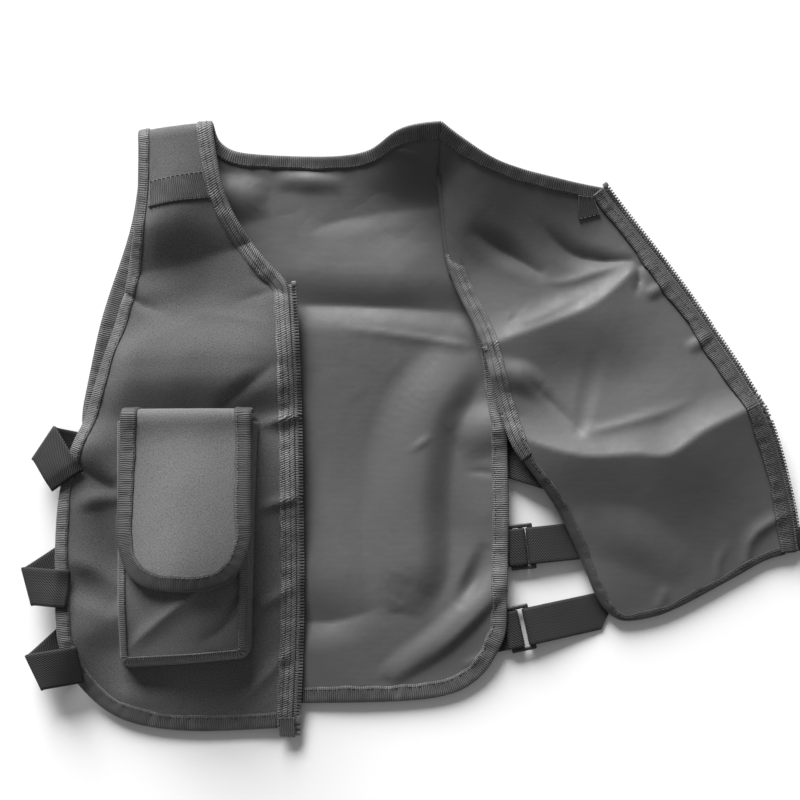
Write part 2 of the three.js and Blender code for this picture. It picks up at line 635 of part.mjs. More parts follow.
// Patch of webbing or cloth on a ply's face, between four plan corners
function patchSolid(map, corners, lift, thick, cells) {
  const [a, b, c, d] = corners;
  const rows = [];
  for (let j = 0; j <= cells.down; j++) {
    for (let i = 0; i <= cells.across; i++) {
      const [s, t] = [i / cells.across, j / cells.down];
      const x = mix(mix(a[0], b[0], s), mix(d[0], c[0], s), t);
      const y = mix(mix(a[1], b[1], s), mix(d[1], c[1], s), t);
      rows.push({ point: map(x, y), normal: normalAt(map, x, y) });
    }
  }
  const level = (height) => rows.map(
    ({ point, normal }) => point.clone().addScaledVector(normal, height),
  );
  const vertices = [...level(lift + thick), ...level(lift)];
  const shift = rows.length;
  const wide = cells.across + 1;
  const faces = [];
  for (let j = 0; j < cells.down; j++) {
    for (let i = 0; i < cells.across; i++) {
      const [p, q] = [j * wide + i, (j + 1) * wide + i];
      faces.push([p, q, q + 1], [p, q + 1, p + 1]);
      faces.push([p, q + 1, q].map((k) => k + shift), [p, p + 1, q + 1].map((k) => k + shift));
    }
  }
  const rim = [];
  for (let i = 0; i < cells.across; i++) rim.push(i);
  for (let j = 0; j < cells.down; j++) rim.push(j * wide + cells.across);
  for (let i = cells.across; i > 0; i--) rim.push(cells.down * wide + i);
  for (let j = cells.down; j > 0; j--) rim.push(j * wide);
  rim.forEach((p, k) => {
    const q = rim[(k + 1) % rim.length];
    faces.push([p, q, q + shift], [p, q + shift, p + shift]);
  });
  return solidFrom(vertices, faces);
}

const vest = new THREE.Group();

function addPiece(name, geometry, color, roughness = 0.8) {
  const material = new THREE.MeshStandardMaterial({ color, roughness, metalness: 0 });
  const piece = new THREE.Mesh(geometry, material);
  piece.name = name;
  vest.add(piece);
  return piece;
}

// The three plies
const FLOOR = CLOTH / 2;
const OPEN_FLOOR = 2.6;
const heightRight = heightField(HEIGHTS.right, FOLDS.right, OPEN_FLOOR);
const heightBack = heightField(HEIGHTS.back, FOLDS.back, FLOOR);
const heightLeft = heightField(HEIGHTS.left, FOLDS.left, OPEN_FLOOR);
const mapRight = rolled(heightRight, 1);
const mapBack = rolled(heightBack, -1);
const mapLeft = (x, y) => vec(x, y, heightLeft(x, y));
const plies = {
  right: makePly(OUTLINES.right, mapRight, FOLDS.right),
  back: makePly(OUTLINES.back, mapBack, FOLDS.back),
  left: makePly(OUTLINES.left, mapLeft, FOLDS.left),
};
addPiece('front_panel_right', plySolid(plies.right), COLORS.woven);
addPiece('back_panel', plySolid(plies.back), COLORS.lining, 0.45);
addPiece('front_panel_left', plySolid(plies.left), COLORS.lining, 0.45);

// Bindings round the edges
const BODY_EDGES = {
  right: ['armholeRoll', 'armhole', 'side', 'hem'],
  back: ['armholeRoll', 'farArmhole', 'farSide', 'hem', 'side', 'armhole'],
  left: ['armhole', 'side', 'hem'],
};
for (const [side, ply] of Object.entries(plies)) {
  addPiece(`body_binding_${side}`, bindingSolid(ply, BODY_EDGES[side]), COLORS.tape);
  addPiece(`neck_binding_${side}`, bindingSolid(ply, ['neck', 'neckRoll']), COLORS.tape);
}

// The separated zip: band, tape and teeth on each front, a pin on one half and a slider on the other
const ZIP_FOOT = { right: 9, left: 15 };
const ZIP_FROM = 2 * SEW_GAP + TAPE;
const TEETH_FROM = ZIP_FROM + ZIP_TAPE_WIDTH + SEW_GAP;
for (const side of ['right', 'left']) {
  addPiece(`zip_band_${side}`, bindingSolid(plies[side], ['zip']), COLORS.tape);
  const sections = squared(sectionsAlong(plies[side], ['zip']));
  const tape = tapeSolid(sections, ZIP_FROM, ZIP_FROM + ZIP_TAPE_WIDTH, ZIP_TAPE_THICK);
  addPiece(`zip_tape_${side}`, tape, COLORS.tape);
  addPiece(`zip_teeth_${side}`, teethSolid(sections, TEETH_FROM, ZIP_FOOT[side]), COLORS.plastic, 0.5);
}

// A block along the zip's run, between two distances from its foot and two from the cloth edge
function zipBlock(side, { along, across, thick }) {
  const sections = squared(sectionsAlong(plies[side], ['zip']));
  const [foot, head] = [sectionAt(sections, 0), sectionAt(sections, ZIP_FOOT[side])];
  const rings = along.map((distance) => {
    const share = distance / ZIP_FOOT[side];
    const edge = foot.edge.clone().lerp(head.edge, share);
    return [[0, 1], [1, 1], [1, -1], [0, -1]].map(([k, up]) => edge.clone()
      .addScaledVector(foot.out, across[k]).addScaledVector(foot.edgeNormal, (up * thick) / 2));
  });
  return loft(rings, [[0, 1, 2, 3]]);
}
const PIN = { along: [-5, 8.6], across: [TEETH_FROM, TOOTH_REACH], thick: TOOTH_THICK };
const SLIDER = { along: [1, 14.5], across: [TEETH_FROM, TOOTH_REACH + 3.5], thick: 5 };
addPiece('zip_pin', zipBlock('right', PIN), COLORS.plastic, 0.5);
addPiece('zip_slider', zipBlock('left', SLIDER), COLORS.plastic, 0.5);

// Shoulder webbing and the zip's top tab, sewn on the cloth's upper face
const PATCH_GAP = 0.5;
const ON_CLOTH = CLOTH / 2 + PATCH_GAP;
const SHOULDER_PATCH = [[-173.5, 166], [-142, 173], [-137.5, 154], [-173.5, 148]];
const TOP_TAB = [[113.5, 155], [119, 155], [129.5, 141], [114, 139]];
const shoulderPatch = patchSolid(mapRight, SHOULDER_PATCH, ON_CLOTH, WEBBING, { across: 4, down: 2 });
const topTab = patchSolid(mapLeft, TOP_TAB, ON_CLOTH, TAPE, { across: 2, down: 2 });
addPiece('shoulder_webbing', shoulderPatch, COLORS.webbing);
addPiece('zip_top_tab', topTab, COLORS.tape);

// Pouch: a slanted front and three walls on the panel, open at the top and against the panel
function pouchPath({ left, right, top, bottom, corner }, rows) {
  const points = [];
  for (let i = 0; i < rows.side; i++) points.push([left, mix(top, bottom + corner, i / rows.side)]);
  for (let i = 0; i <= rows.corner; i++) {
    const turn = (Math.PI / 2) * (i / rows.corner);
    points.push([left + corner * (1 - Math.cos(turn)), bottom + corner * (1 - Math.sin(turn))]);
  }
  for (let i = 1; i < rows.foot; i++) {
    points.push([mix(left + corner, right - corner, i / rows.foot), bottom]);
  }
  const half = points.slice(0, rows.side + rows.corner + 1);
  return [...points, ...half.reverse().map(([x, y]) => [left + right - x, y])];
}

function pouchSolid() {
  const rows = { side: 5, corner: 3, foot: 4 };
  const depthRows = rows.side + rows.corner;
  const ground = (x, y) => heightRight(x, y) + CLOTH / 2 + POUCH.lift;
  const middle = (POUCH.left + POUCH.right) / 2;
  const half = (POUCH.right - POUCH.left) / 2 - POUCH.slant;
  const shell = (wall) => {
    const foot = {
      left: POUCH.left + wall, right: POUCH.right - wall, top: POUCH.top,
      bottom: POUCH.bottom + wall, corner: POUCH.corner - wall / 2,
    };
    const front = {
      ...foot, left: foot.left + POUCH.slant, right: foot.right - POUCH.slant,
      bottom: foot.bottom + POUCH.footSlant,
    };
    const low = pouchPath(foot, rows).map(([x, y]) => vec(x, y, ground(x, y)));
    const path = pouchPath(front, rows);
    const grid = Array.from({ length: depthRows + 1 }, (_, r) => {
      const [lx, ly] = path[r];
      const [rx, ry] = path[path.length - 1 - r];
      return Array.from({ length: rows.foot + 1 }, (__, c) => {
        const x = mix(lx, rx, c / rows.foot);
        const y = mix(ly, ry, c / rows.foot);
        const bulge = POUCH.crown * (1 - ((x - middle) / half) ** 2);
        return vec(x, y, ground(x, y) + POUCH.depth - wall + bulge);
      });
    });
    return { low, grid };
  };
  const vertices = [];
  const index = ({ low, grid }) => {
    const put = (v) => vertices.push(v) - 1;
    const table = { low: low.map(put), grid: grid.map((row) => row.map(put)) };
    table.edge = [
      ...table.grid.map((row) => row[0]),
      ...table.grid[depthRows].slice(1, -1),
      ...table.grid.map((row) => row[rows.foot]).reverse(),
    ];
    table.mouth = [table.low[0], ...table.grid[0], table.low.at(-1)];
    return table;
  };
  const outer = index(shell(0));
  const inner = index(shell(POUCH.wall));
  const faces = [];
  const quad = (a, b, c, d) => faces.push([a, b, c], [a, c, d]);
  for (let i = 0; i + 1 < outer.low.length; i++) {
    quad(outer.low[i], outer.low[i + 1], outer.edge[i + 1], outer.edge[i]);
    quad(inner.low[i + 1], inner.low[i], inner.edge[i], inner.edge[i + 1]);
    quad(outer.low[i], inner.low[i], inner.low[i + 1], outer.low[i + 1]);
  }
  for (let r = 0; r < depthRows; r++) {
    for (let c = 0; c < rows.foot; c++) {
      quad(outer.grid[r][c], outer.grid[r + 1][c], outer.grid[r + 1][c + 1], outer.grid[r][c + 1]);
      quad(inner.grid[r][c + 1], inner.grid[r + 1][c + 1], inner.grid[r + 1][c], inner.grid[r][c]);
    }
  }
  for (let k = 0; k + 1 < outer.mouth.length; k++) {
    quad(outer.mouth[k], outer.mouth[k + 1], inner.mouth[k + 1], inner.mouth[k]);
  }
  return solidFrom(vertices, faces);
}
addPiece('pouch_body', pouchSolid(), COLORS.woven);

// Flap: sewn to the panel above the pouch, over its mouth and down its front; run is plan Y and rise
const FLAP_RUN = [
  [11, 1.7], [10, 8], [8, 16], [4, 21.5], [-4, 22.8], [-40, 23.2], [-80, 23.2], [-109, 22.4],
];
const flapCurve = new THREE.SplineCurve(FLAP_RUN.map(([y, rise]) => new THREE.Vector2(y, rise)));
const flapLength = flapCurve.getLength();
function mapFlap(x, run) {
  const { x: y, y: rise } = flapCurve.getPointAt(THREE.MathUtils.clamp(-run / flapLength, 0, 1));
  const spare = Math.max(0, -run - flapLength);
  const arch = FLAP.arch * (1 - ((x - FLAP.middle) / FLAP.halfTop) ** 2) * (rise / FLAP_RUN.at(-1)[1]);
  return vec(x, y - spare, heightRight(x, Math.min(y, 0)) + CLOTH / 2 + POUCH.lift + rise + arch);
}
const flapCorner = [[1.035, 0.55], [1.04, 0.78], [0.8, 0.945], [0.35, 1]];
const flapSide = flapCorner.map(([wide, long]) => [wide * FLAP.halfTop, -long * flapLength]);
const flapAt = (side) => ([x, run]) => [FLAP.middle + side * x, run];
const flapTop = [FLAP.halfTop, 0];
const flapBend = [1.02 * FLAP.halfTop, -FLAP.riser];
const flapEdge = [flapBend, ...flapSide];
const flapSeeds = [];
for (let run = 2 * ROLL_STEP; run < FLAP.riser; run += ROLL_STEP) {
  for (const x of [-0.4, 0, 0.4]) flapSeeds.push({ x: FLAP.middle + x * FLAP.halfTop, y: -run });
}
const flapPly = makePly([
  { edge: 'rimDown', step: ROLL_STEP, points: [flapTop, flapBend].map(flapAt(-1)) },
  { edge: 'rim', points: [...flapEdge.map(flapAt(-1)), ...flapEdge.toReversed().map(flapAt(1))] },
  { edge: 'rimUp', step: ROLL_STEP, points: [flapBend, flapTop].map(flapAt(1)) },
  { edge: 'seam', points: [flapAt(1)(flapTop), flapAt(-1)(flapTop)] },
], mapFlap, [], flapSeeds);
addPiece('pouch_flap', plySolid(flapPly), COLORS.woven);
addPiece('pouch_flap_binding', bindingSolid(flapPly, ['rimDown', 'rim', 'rimUp']), COLORS.tape);

// Strap adjuster on its own heading, its first bar just past the back's edge
function glideSolid() {
  const half = GLIDE.width / 2;
  const { chamfer } = GLIDE;
  const shape = new THREE.Shape();
  shape.moveTo(chamfer, -half).lineTo(GLIDE.length - chamfer, -half).lineTo(GLIDE.length, chamfer - half);
  shape.lineTo(GLIDE.length, half - chamfer).lineTo(GLIDE.length - chamfer, half).lineTo(chamfer, half);
  shape.lineTo(0, half - chamfer).lineTo(0, chamfer - half);
  const second = GLIDE.bar + GLIDE.slot + GLIDE.midBar;
  const NARROWER = 0.4;
  const slots = [
    { from: GLIDE.bar, to: GLIDE.bar + GLIDE.slot, end: half - GLIDE.rail },
    { from: second, to: GLIDE.length - GLIDE.bar, end: half - GLIDE.rail - NARROWER },
  ];
  for (const { from, to, end } of slots) {
    const slot = new THREE.Path().moveTo(from, -end).lineTo(to, -end).lineTo(to, end).lineTo(from, end);
    shape.holes.push(slot);
  }
  return new THREE.ExtrudeGeometry(shape, { depth: GLIDE.thick, bevelEnabled: false });
}

const LAYER = WEBBING / 2 + SEW_GAP;
const TOP_RUN = GLIDE.underside + GLIDE.thick + LAYER;
const LOW_RUN = GLIDE.underside - LAYER;
const BEND = 1.3;

// Webbing round a bar, seen from the side: over it, down through the slot and back under it
function turnAround(s, sense) {
  const cut = 0.35 * BEND;
  return [
    [s + sense * BEND, TOP_RUN], [s + sense * cut, TOP_RUN - cut], [s, TOP_RUN - BEND],
    [s, LOW_RUN + BEND], [s + sense * cut, LOW_RUN + cut], [s + sense * BEND, LOW_RUN],
  ];
}

const BAR_GAP = 0.8;
const LOOP_TURN = GLIDE.start + GLIDE.bar + LAYER;
const STRAP_TURN = GLIDE.start + GLIDE.bar + GLIDE.slot - LAYER;
const GLIDE_END = GLIDE.start + GLIDE.length;

// Height of webbing sewn under a ply's binding, along the tucked end of a strap
const ON_BINDING = CLOTH / 2 + 2 * SEW_GAP + TAPE + WEBBING / 2;
const TUCK_MARGIN = 0.4;
function tuckedUnder(height, { x, y, heading }, from, to) {
  const angle = THREE.MathUtils.degToRad(heading);
  const heights = [from, (from + to) / 2, to].flatMap((s) => [-0.5, 0, 0.5].map((across) => height(
    x + s * Math.cos(angle) - across * WEBBING_WIDTH * Math.sin(angle),
    y + s * Math.sin(angle) + across * WEBBING_WIDTH * Math.cos(angle),
  )));
  return Math.min(...heights) - ON_BINDING - TUCK_MARGIN;
}

function addGlide(name, seat, nearZ) {
  const glide = addPiece(`triglide_${name}`, glideSolid(), COLORS.plastic, 0.4);
  const angle = THREE.MathUtils.degToRad(seat.heading);
  const start = vec(Math.cos(angle), Math.sin(angle)).multiplyScalar(GLIDE.start);
  glide.position.copy(start).add(vec(seat.x, seat.y, GLIDE.underside));
  glide.rotation.z = angle;
  const under = nearZ - WEBBING - SEW_GAP;
  const before = GLIDE.start - BAR_GAP;
  const loop = [
    [-STRAP_TUCK, nearZ], [-1, nearZ], [before, TOP_RUN], ...turnAround(LOOP_TURN, -1),
    [before, LOW_RUN], [-1, under], [-STRAP_TUCK, under],
  ];
  addPiece(`buckle_loop_${name}`, profileStrap(seat, loop), COLORS.webbing);
}

// Straight length of a strap before it bends
const STRAP_FLAT = 3;

// Open side: each strap runs from under the front's edge to the back's edge or its adjuster
for (const strap of OPEN_STRAPS) {
  const { name, reach, tail } = strap;
  const nearZ = tuckedUnder(heightBack, strap, -STRAP_TUCK, 0);
  const farZ = tuckedUnder(heightLeft, strap, reach, reach + STRAP_TUCK);
  if (tail) addGlide(name, strap, nearZ);
  const far = [[reach + STRAP_TUCK, farZ], [reach - STRAP_FLAT, farZ]];
  const past = GLIDE_END + STRAP_FLAT / 3;
  const run = tail
    ? [...far, [past, TOP_RUN], ...turnAround(STRAP_TURN, 1), [past, LOW_RUN], [tail, LOW_RUN]]
    : [...far, [STRAP_FLAT, nearZ], [-STRAP_TUCK, nearZ]];
  addPiece(`side_strap_left_${name}`, profileStrap(strap, run), COLORS.webbing);
}

// Closed side: each strap lies on the front's binding, folds over a slanted crease and runs back below
for (const { name, endX, endY, creaseX, creaseY, backX, backY, creaseZ } of FOLDED_STRAPS) {
  const crease = vec(creaseX, creaseY);
  const back = vec(backX, backY);
  const top = vec(endX, endY).sub(crease);
  const low = back.clone().sub(crease);
  const topLength = top.length();
  top.normalize();
  low.normalize();
  const inward = top.clone().add(low).normalize();
  const aside = (v) => vec(-v.y, v.x);
  const slantScale = 1 / top.dot(inward);
  const heading = THREE.MathUtils.radToDeg(Math.atan2(low.y, low.x));
  const nearZ = tuckedUnder(heightBack, { x: backX, y: backY, heading }, 0, STRAP_TUCK);
  const rail = (side) => {
    const off = (side * WEBBING_WIDTH) / 2;
    const onFront = (distance) => {
      const p = crease.clone().addScaledVector(top, distance).addScaledVector(aside(top), off);
      return p.setZ(heightRight(p.x, p.y) + ON_BINDING + 1.5 * TUCK_MARGIN);
    };
    const corner = crease.clone().addScaledVector(aside(inward), off * slantScale);
    const arc = CREASE_TURN.map((degrees) => {
      const turn = THREE.MathUtils.degToRad(degrees);
      return corner.clone().addScaledVector(inward, -CREASE_RADIUS * Math.sin(turn))
        .setZ(creaseZ + CREASE_RADIUS * (1 + Math.cos(turn)));
    });
    const lower = [-STRAP_FLAT, STRAP_TUCK].map(
      (s) => back.clone().addScaledVector(low, s).addScaledVector(aside(low), off).setZ(nearZ),
    );
    return SEWN_LENGTHS.map((from) => onFront(topLength - from)).concat(arc, lower);
  };
  addPiece(`side_strap_right_${name}`, webbingSolid([rail(1), rail(0), rail(-1)]), COLORS.webbing);
}

// The whole vest stands on its lowest face, centred on its plan
vest.updateMatrixWorld(true);
const box = new THREE.Box3().setFromObject(vest);
const centre = box.getCenter(vec(0, 0));
vest.position.set(-centre.x, -centre.y, -box.min.z);

export default vest;
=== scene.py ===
"""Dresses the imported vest: cloth plies, bound edges, zip halves, pouch, webbing and adjusters."""

import logging
import math
from collections.abc import Callable, Sequence
from dataclasses import dataclass, field
from enum import Enum

import bpy
import numpy as np
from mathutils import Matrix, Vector
from mathutils.geometry import delaunay_2d_cdt


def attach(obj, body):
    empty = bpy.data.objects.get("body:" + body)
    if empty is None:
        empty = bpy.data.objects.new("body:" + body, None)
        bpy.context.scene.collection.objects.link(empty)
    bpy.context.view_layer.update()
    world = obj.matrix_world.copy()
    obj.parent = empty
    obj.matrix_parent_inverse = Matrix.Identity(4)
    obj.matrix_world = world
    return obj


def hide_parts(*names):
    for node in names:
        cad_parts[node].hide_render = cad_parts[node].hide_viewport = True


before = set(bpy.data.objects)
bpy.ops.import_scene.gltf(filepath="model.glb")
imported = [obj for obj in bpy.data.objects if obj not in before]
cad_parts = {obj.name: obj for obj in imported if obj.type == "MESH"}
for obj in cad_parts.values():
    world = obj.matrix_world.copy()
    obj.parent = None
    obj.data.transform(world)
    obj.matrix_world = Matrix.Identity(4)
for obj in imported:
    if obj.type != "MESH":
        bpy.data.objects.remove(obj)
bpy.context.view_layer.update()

LOG = logging.getLogger("vest")
Array = np.ndarray
Point = tuple[float, float]
Pair = tuple[float, float]
Triple = tuple[float, float, float]
Faces = list[tuple[int, ...]]
Model = tuple[Array, Faces]
Piece = bpy.types.Object
Node = bpy.types.Node
Socket = bpy.types.NodeSocket
Layers = tuple[object, object, object, float]

# Sizes in millimetres on the table, as in the part's source
MM = 0.001
TABLE_SHIFT = np.array([-4.3562, -2.1673, 0.0])
HALF_CLOTH = 0.6
CLOTH_INSET = 1.2
SEAM_INSET = -0.6
TAPE_WIDTH = 11.0
WEBBING = 1.4
WEBBING_WIDTH = 25.0
FLOOR = 0.6
OPEN_FLOOR = 2.6
EASE = 4.0
ROLL_RADIUS = 9.0
ROLL_ARM = (-186.0, 194.0)
ROLL_NECK = (-135.0, 201.0)
ROLL_OUT = np.array([-7.0, 51.0]) / math.hypot(7, 51)
SHEET_STEP = 2.3
RING_STEP = 1.8
TAPE_STEP = 1.3
FINE_STEP = 0.6
RIM_CLEAR = 0.62
STRIP_EDGE = 0.35
STITCH_LIFT = 0.1


def past_roll(point: Point) -> Point:
    """The pattern point a quarter turn past the shoulder roll."""
    return tuple(np.array(point) + ROLL_OUT * ROLL_RADIUS * math.pi / 2)


ROLL_ARM_END = past_roll(ROLL_ARM)
ROLL_NECK_END = past_roll(ROLL_NECK)
SEAM_HIGH = (21.0, 203.0)
SEAM_LOW_BACK = (18.3, 171.0)
SEAM_LOW_FRONT = (19.7, 171.0)

RIGHT_RUNS = {
    "zip": [[(-79, -203), (-76.5, -118), (-79, 18), (-83, 98)]],
    "neck": [
        [(-83, 98), (-107, 124), (-125, 154), (-132, 182), ROLL_NECK],
        [ROLL_NECK, ROLL_NECK_END],
    ],
    "seam": [[ROLL_NECK_END, ROLL_ARM_END]],
    "body": [
        [ROLL_ARM_END, ROLL_ARM],
        [ROLL_ARM, (-187, 150), (-192, 118), (-197, 88), (-205.5, 58), (-215, 27), (-221, 4)],
        [(-221, 4), (-236, -44), (-238, -100), (-235, -147)],
        [(-235, -147), (-223, -174), (-196, -197), (-150, -205.5), (-79, -203)],
    ],
}
BACK_RUNS = {
    "seam": [[SEAM_LOW_BACK, SEAM_HIGH]],
    "neck": [
        [SEAM_HIGH, (-8, 201), (-28, 191), (-62, 188), (-118, 191), ROLL_NECK],
        [ROLL_NECK, ROLL_NECK_END],
    ],
    "far_seam": [[ROLL_NECK_END, ROLL_ARM_END]],
    "body": [
        [ROLL_ARM_END, ROLL_ARM],
        [ROLL_ARM, (-188, 180), (-194, 137), (-213, 72), (-225, 11)],
        [(-225, 11), (-221, -70), (-218, -145)],
        [(-218, -145), (-205, -171), (-170, -186), (-74, -187), (13, -184), (47, -170), (65, -141)],
        [(65, -141), (67, -60), (66, 4)],
        [(66, 4), (63, 25), (54, 80), (44, 118), (33, 148), SEAM_LOW_BACK],
    ],
}
LEFT_RUNS = {
    "zip": [[(262, -86), (256, -46), (238, 11), (191, 87), (132, 165)]],
    "neck": [[(132, 165), (102, 169), (61, 178), (36, 192), SEAM_HIGH]],
    "seam": [[SEAM_HIGH, SEAM_LOW_FRONT]],
    "body": [
        [SEAM_LOW_FRONT, (21.5, 148), (27, 107), (48, 58), (60, 11), (69, -15)],
        [(69, -15), (98, -55), (115, -90), (128, -120), (142, -133)],
        [(142, -133), (173, -127), (222, -102), (242, -91), (262, -86)],
    ],
}

# Where each ply's middle lies above the table: x, y, height
RIGHT_HEIGHTS = [
    (-79, -203, 5), (-79, -187, 7.5), (-77, -150, 9), (-77, -90, 10), (-79, 30, 11), (-83, 96, 12),
    (-107, 124, 12), (-125, 154, 17), (-132, 182, 21), (-135, 201, 22),
    (-186, 194, 22), (-187, 150, 18), (-192, 120, 13), (-197, 88, 13), (-206, 58, 13), (-221, 4, 14.5),
    (-236, -44, 18.5), (-238, -100, 20), (-235, -147, 19.5),
    (-229, -162, 15.5), (-223, -174, 10.5), (-210, -187, 5.5), (-196, -197, 4),
    (-150, -205, 3.2), (-110, -204, 3.2),
    (-160, 197, 24.5), (-160, 175, 26.5), (-158, 144, 27), (-176, 137, 23.5),
    (-165, 116, 13), (-140, 112, 11),
    (-145, 97, 9), (-150, 78, 13.5), (-150, 62, 22.5), (-150, 48, 28.5), (-150, 34, 26.5), (-150, 22, 20.5),
    (-112, 84, 10.5), (-112, 64, 19), (-112, 48, 25), (-112, 34, 23.5), (-112, 22, 18.5),
    (-188, 62, 18), (-188, 48, 24), (-188, 34, 22), (-188, 22, 16.5),
    (-150, 8, 15), (-188, 8, 12.5), (-112, 8, 14),
    (-198, -20, 15), (-198, -55, 12), (-103, -20, 17), (-150, -40, 22), (-198, -90, 8.5), (-103, -90, 18),
    (-150, -90, 23), (-150, -130, 20), (-198, -150, 8), (-103, -150, 13), (-150, -166, 14),
    (-216, -14, 24), (-219, -55, 18.5), (-220, -95, 17.5), (-215, -140, 17.5), (-205, -172, 8),
]
BACK_HEIGHTS = [
    (66, 4, 8), (67, -60, 8.5), (65, -141, 8.5), (52, -60, 8), (52, -128, 8), (54, 0, 7.5),
    (47, -170, 5), (13, -184, 4), (-74, -187, 3.2), (-170, -186, 2.6), (-205, -171, 2.6),
    (40, -158, 5), (8, -171, 4), (-74, -174, 4), (-165, -172, 2.4), (-195, -163, 2.6),
    (-218, -145, 3.2), (-221, -70, 4.8), (-225, 11, 5.2), (-206, -135, 3.2), (-208, -75, 4.4), (-211, -8, 5),
    (-213, 72, 6), (-194, 137, 4.5), (-188, 180, 4), (-186, 194, 4), (-135, 201, 4),
    (-118, 191, 5.5), (-62, 188, 6.5), (-28, 191, 13), (-8, 201, 32), (8, 203, 41), (21, 203, 44),
    (20, 187, 29), (19, 171, 14), (19.5, 159, 8), (23, 144, 5.5), (30, 120, 4.5), (44, 80, 4.5), (62, 25, 6),
    (0, 180, 19), (-30, 172, 6), (0, 157, 4), (-70, 165, 4), (-140, 160, 1), (-160, 190, 3.5),
    (-60, 110, 6), (0, 115, 6), (-140, 90, -4), (-55, 60, 7), (-10, 40, 7), (-110, 30, -2), (-180, 20, -4),
    (20, 0, 4), (-60, -60, 4), (-150, -60, -6), (-10, -70, 3), (30, -70, 3), (-60, -110, 7),
    (-150, -135, -6), (0, -120, 6), (-60, -150, 6),
]
LEFT_HEIGHTS = [
    (21, 203, 44), (20, 187, 29), (19, 171, 14),
    (36, 192, 41), (61, 178, 34), (81, 174, 28), (102, 169, 22), (132, 165, 12),
    (159, 130, 8), (191, 87, 8), (213, 56, 8), (238, 11, 11), (256, -46, 6.5), (262, -86, 4),
    (242, -91, 3.5), (222, -102, 3.5), (173, -127, 3.5), (142, -133, 4),
    (128, -120, 7), (115, -90, 8.5), (98, -55, 11), (69, -15, 13),
    (60, 11, 14), (48, 58, 14), (27, 107, 8.5), (20.5, 150, 11.5),
    (34, 166, 25), (45, 150, 23), (36, 140, 17), (75, 140, 17), (105, 140, 13),
    (50, 112, 9.5), (68, 108, 11), (110, 108, 10),
    (80, 60, 16), (130, 70, 15), (170, 60, 13), (110, 35, 14), (180, 20, 17), (150, 35, 14),
    (110, -20, 19), (150, -28, 20), (195, -24, 18), (150, -64, 14), (200, -62, 11), (225, -40, 11),
]


class Slot(Enum):
    """The record's material slots."""

    WOVEN = "woven_cloth"
    COATED = "coated_cloth"
    TAPE = "binding_tape"
    WEBBING = "webbing"
    ZIP = "zip_plastic"
    ADJUSTER = "adjuster_plastic"


class Side(Enum):
    """Which way a cloth's outer, woven face is turned."""

    WOVEN_UP = 1
    COATED_UP = -1


@dataclass(frozen=True)
class Fold:
    """A ridge or a hollow along a path of (x, y, width, height) points."""

    PER_SPAN = 8

    path: tuple[tuple[float, float, float, float], ...]
    lean: float = 1.0
    sharp: bool = False

    def lift(self, x: Array, y: Array) -> Array:
        """Height that the fold adds.

        Args:
            x: Plan positions across the table.
            y: Plan positions up the table.

        Returns:
            The height at each position.
        """
        path = spline(self.path, self.PER_SPAN)
        reach = path[:, 2].max() * max(self.lean, 1.0)
        near = np.abs(x - np.clip(x, path[:, 0].min(), path[:, 0].max())) < reach
        near &= np.abs(y - np.clip(y, path[:, 1].min(), path[:, 1].max())) < reach
        at_x, at_y = x[near], y[near]
        best, height = np.full(at_x.shape, 1.0), np.zeros(at_x.shape)
        for (x0, y0, w0, h0), (x1, y1, w1, h1) in zip(path, path[1:]):
            dx, dy = x1 - x0, y1 - y0
            t = np.clip(((at_x - x0) * dx + (at_y - y0) * dy) / (dx * dx + dy * dy), 0, 1)
            off_x, off_y = at_x - (x0 + t * dx), at_y - (y0 + t * dy)
            width = w0 + t * (w1 - w0)
            width = np.where(dx * off_y - dy * off_x > 0, width * self.lean, width)
            off = np.hypot(off_x, off_y) / width
            nearer = off < best
            best = np.where(nearer, off, best)
            height = np.where(nearer, h0 + t * (h1 - h0), height)
        lift = np.zeros(x.shape)
        lift[near] = height * ((1 - best) ** 2 if self.sharp else (1 - best**2) ** 2)
        return lift


@dataclass(frozen=True)
class Crease(Fold):
    """A fold with a sharp crest."""

    sharp: bool = True


RIGHT_FOLDS = [
    Fold(((-208, 20, 18, 2), (-150, 24, 20, 2.5), (-95, 26, 18, 3))),
    Crease(((-190, 104, 18, -2), (-150, 114, 22, -3), (-106, 128, 18, -3))),
    Fold(((-192, 68, 16, -1), (-168, 78, 18, -2.4), (-140, 92, 14, -0.5))),
    Crease(((-128, 13, 9, -1.5), (-109, 28, 10, -2.6), (-92, 41, 8, -0.5))),
    Crease(((-124, 84, 8, 0), (-108, 89, 9, -1.6), (-95, 93, 8, -1.2))),
    Crease(((-196, 92, 9, -3), (-184, 84, 10, -4.5), (-166, 76, 8, 0)), 1.4),
    Crease(((-112, 106, 6, 0), (-98, 98, 7, -2), (-86, 90, 6, -1)), 1.2),
    Crease(((-150, 76, 8, 0), (-120, 74, 9, 1.0), (-92, 66, 8, 0))),
    Crease(((-230, -22, 10, -1.5), (-216, -34, 12, -4.5), (-202, -42, 10, -3.5))),
    Fold(((-226, -50, 9, 0), (-214, -50, 9, 2.5), (-200, -48, 8, 1)), 0.9),
    Fold(((-235, -98, 12, -0.5), (-219, -108, 15, -5.5), (-203, -118, 13, -4))),
    Crease(((-104, 0, 9, 1), (-92, 3, 9, 4), (-80, 6, 8, 3.2))),
    Crease(((-104, -58, 8, 0), (-92, -53, 8, 3.6), (-80, -50, 7, 2.6))),
    Crease(((-107, -127, 9, 0), (-95, -118, 9, 3.2), (-82, -111, 8, 2))),
    Crease(((-114, -186, 8, 0), (-97, -168, 9, 2.8), (-82, -152, 8, 1.5))),
    Fold(((-206, -176, 8, 0), (-180, -182, 9, 1.5), (-150, -184, 8, 0))),
]
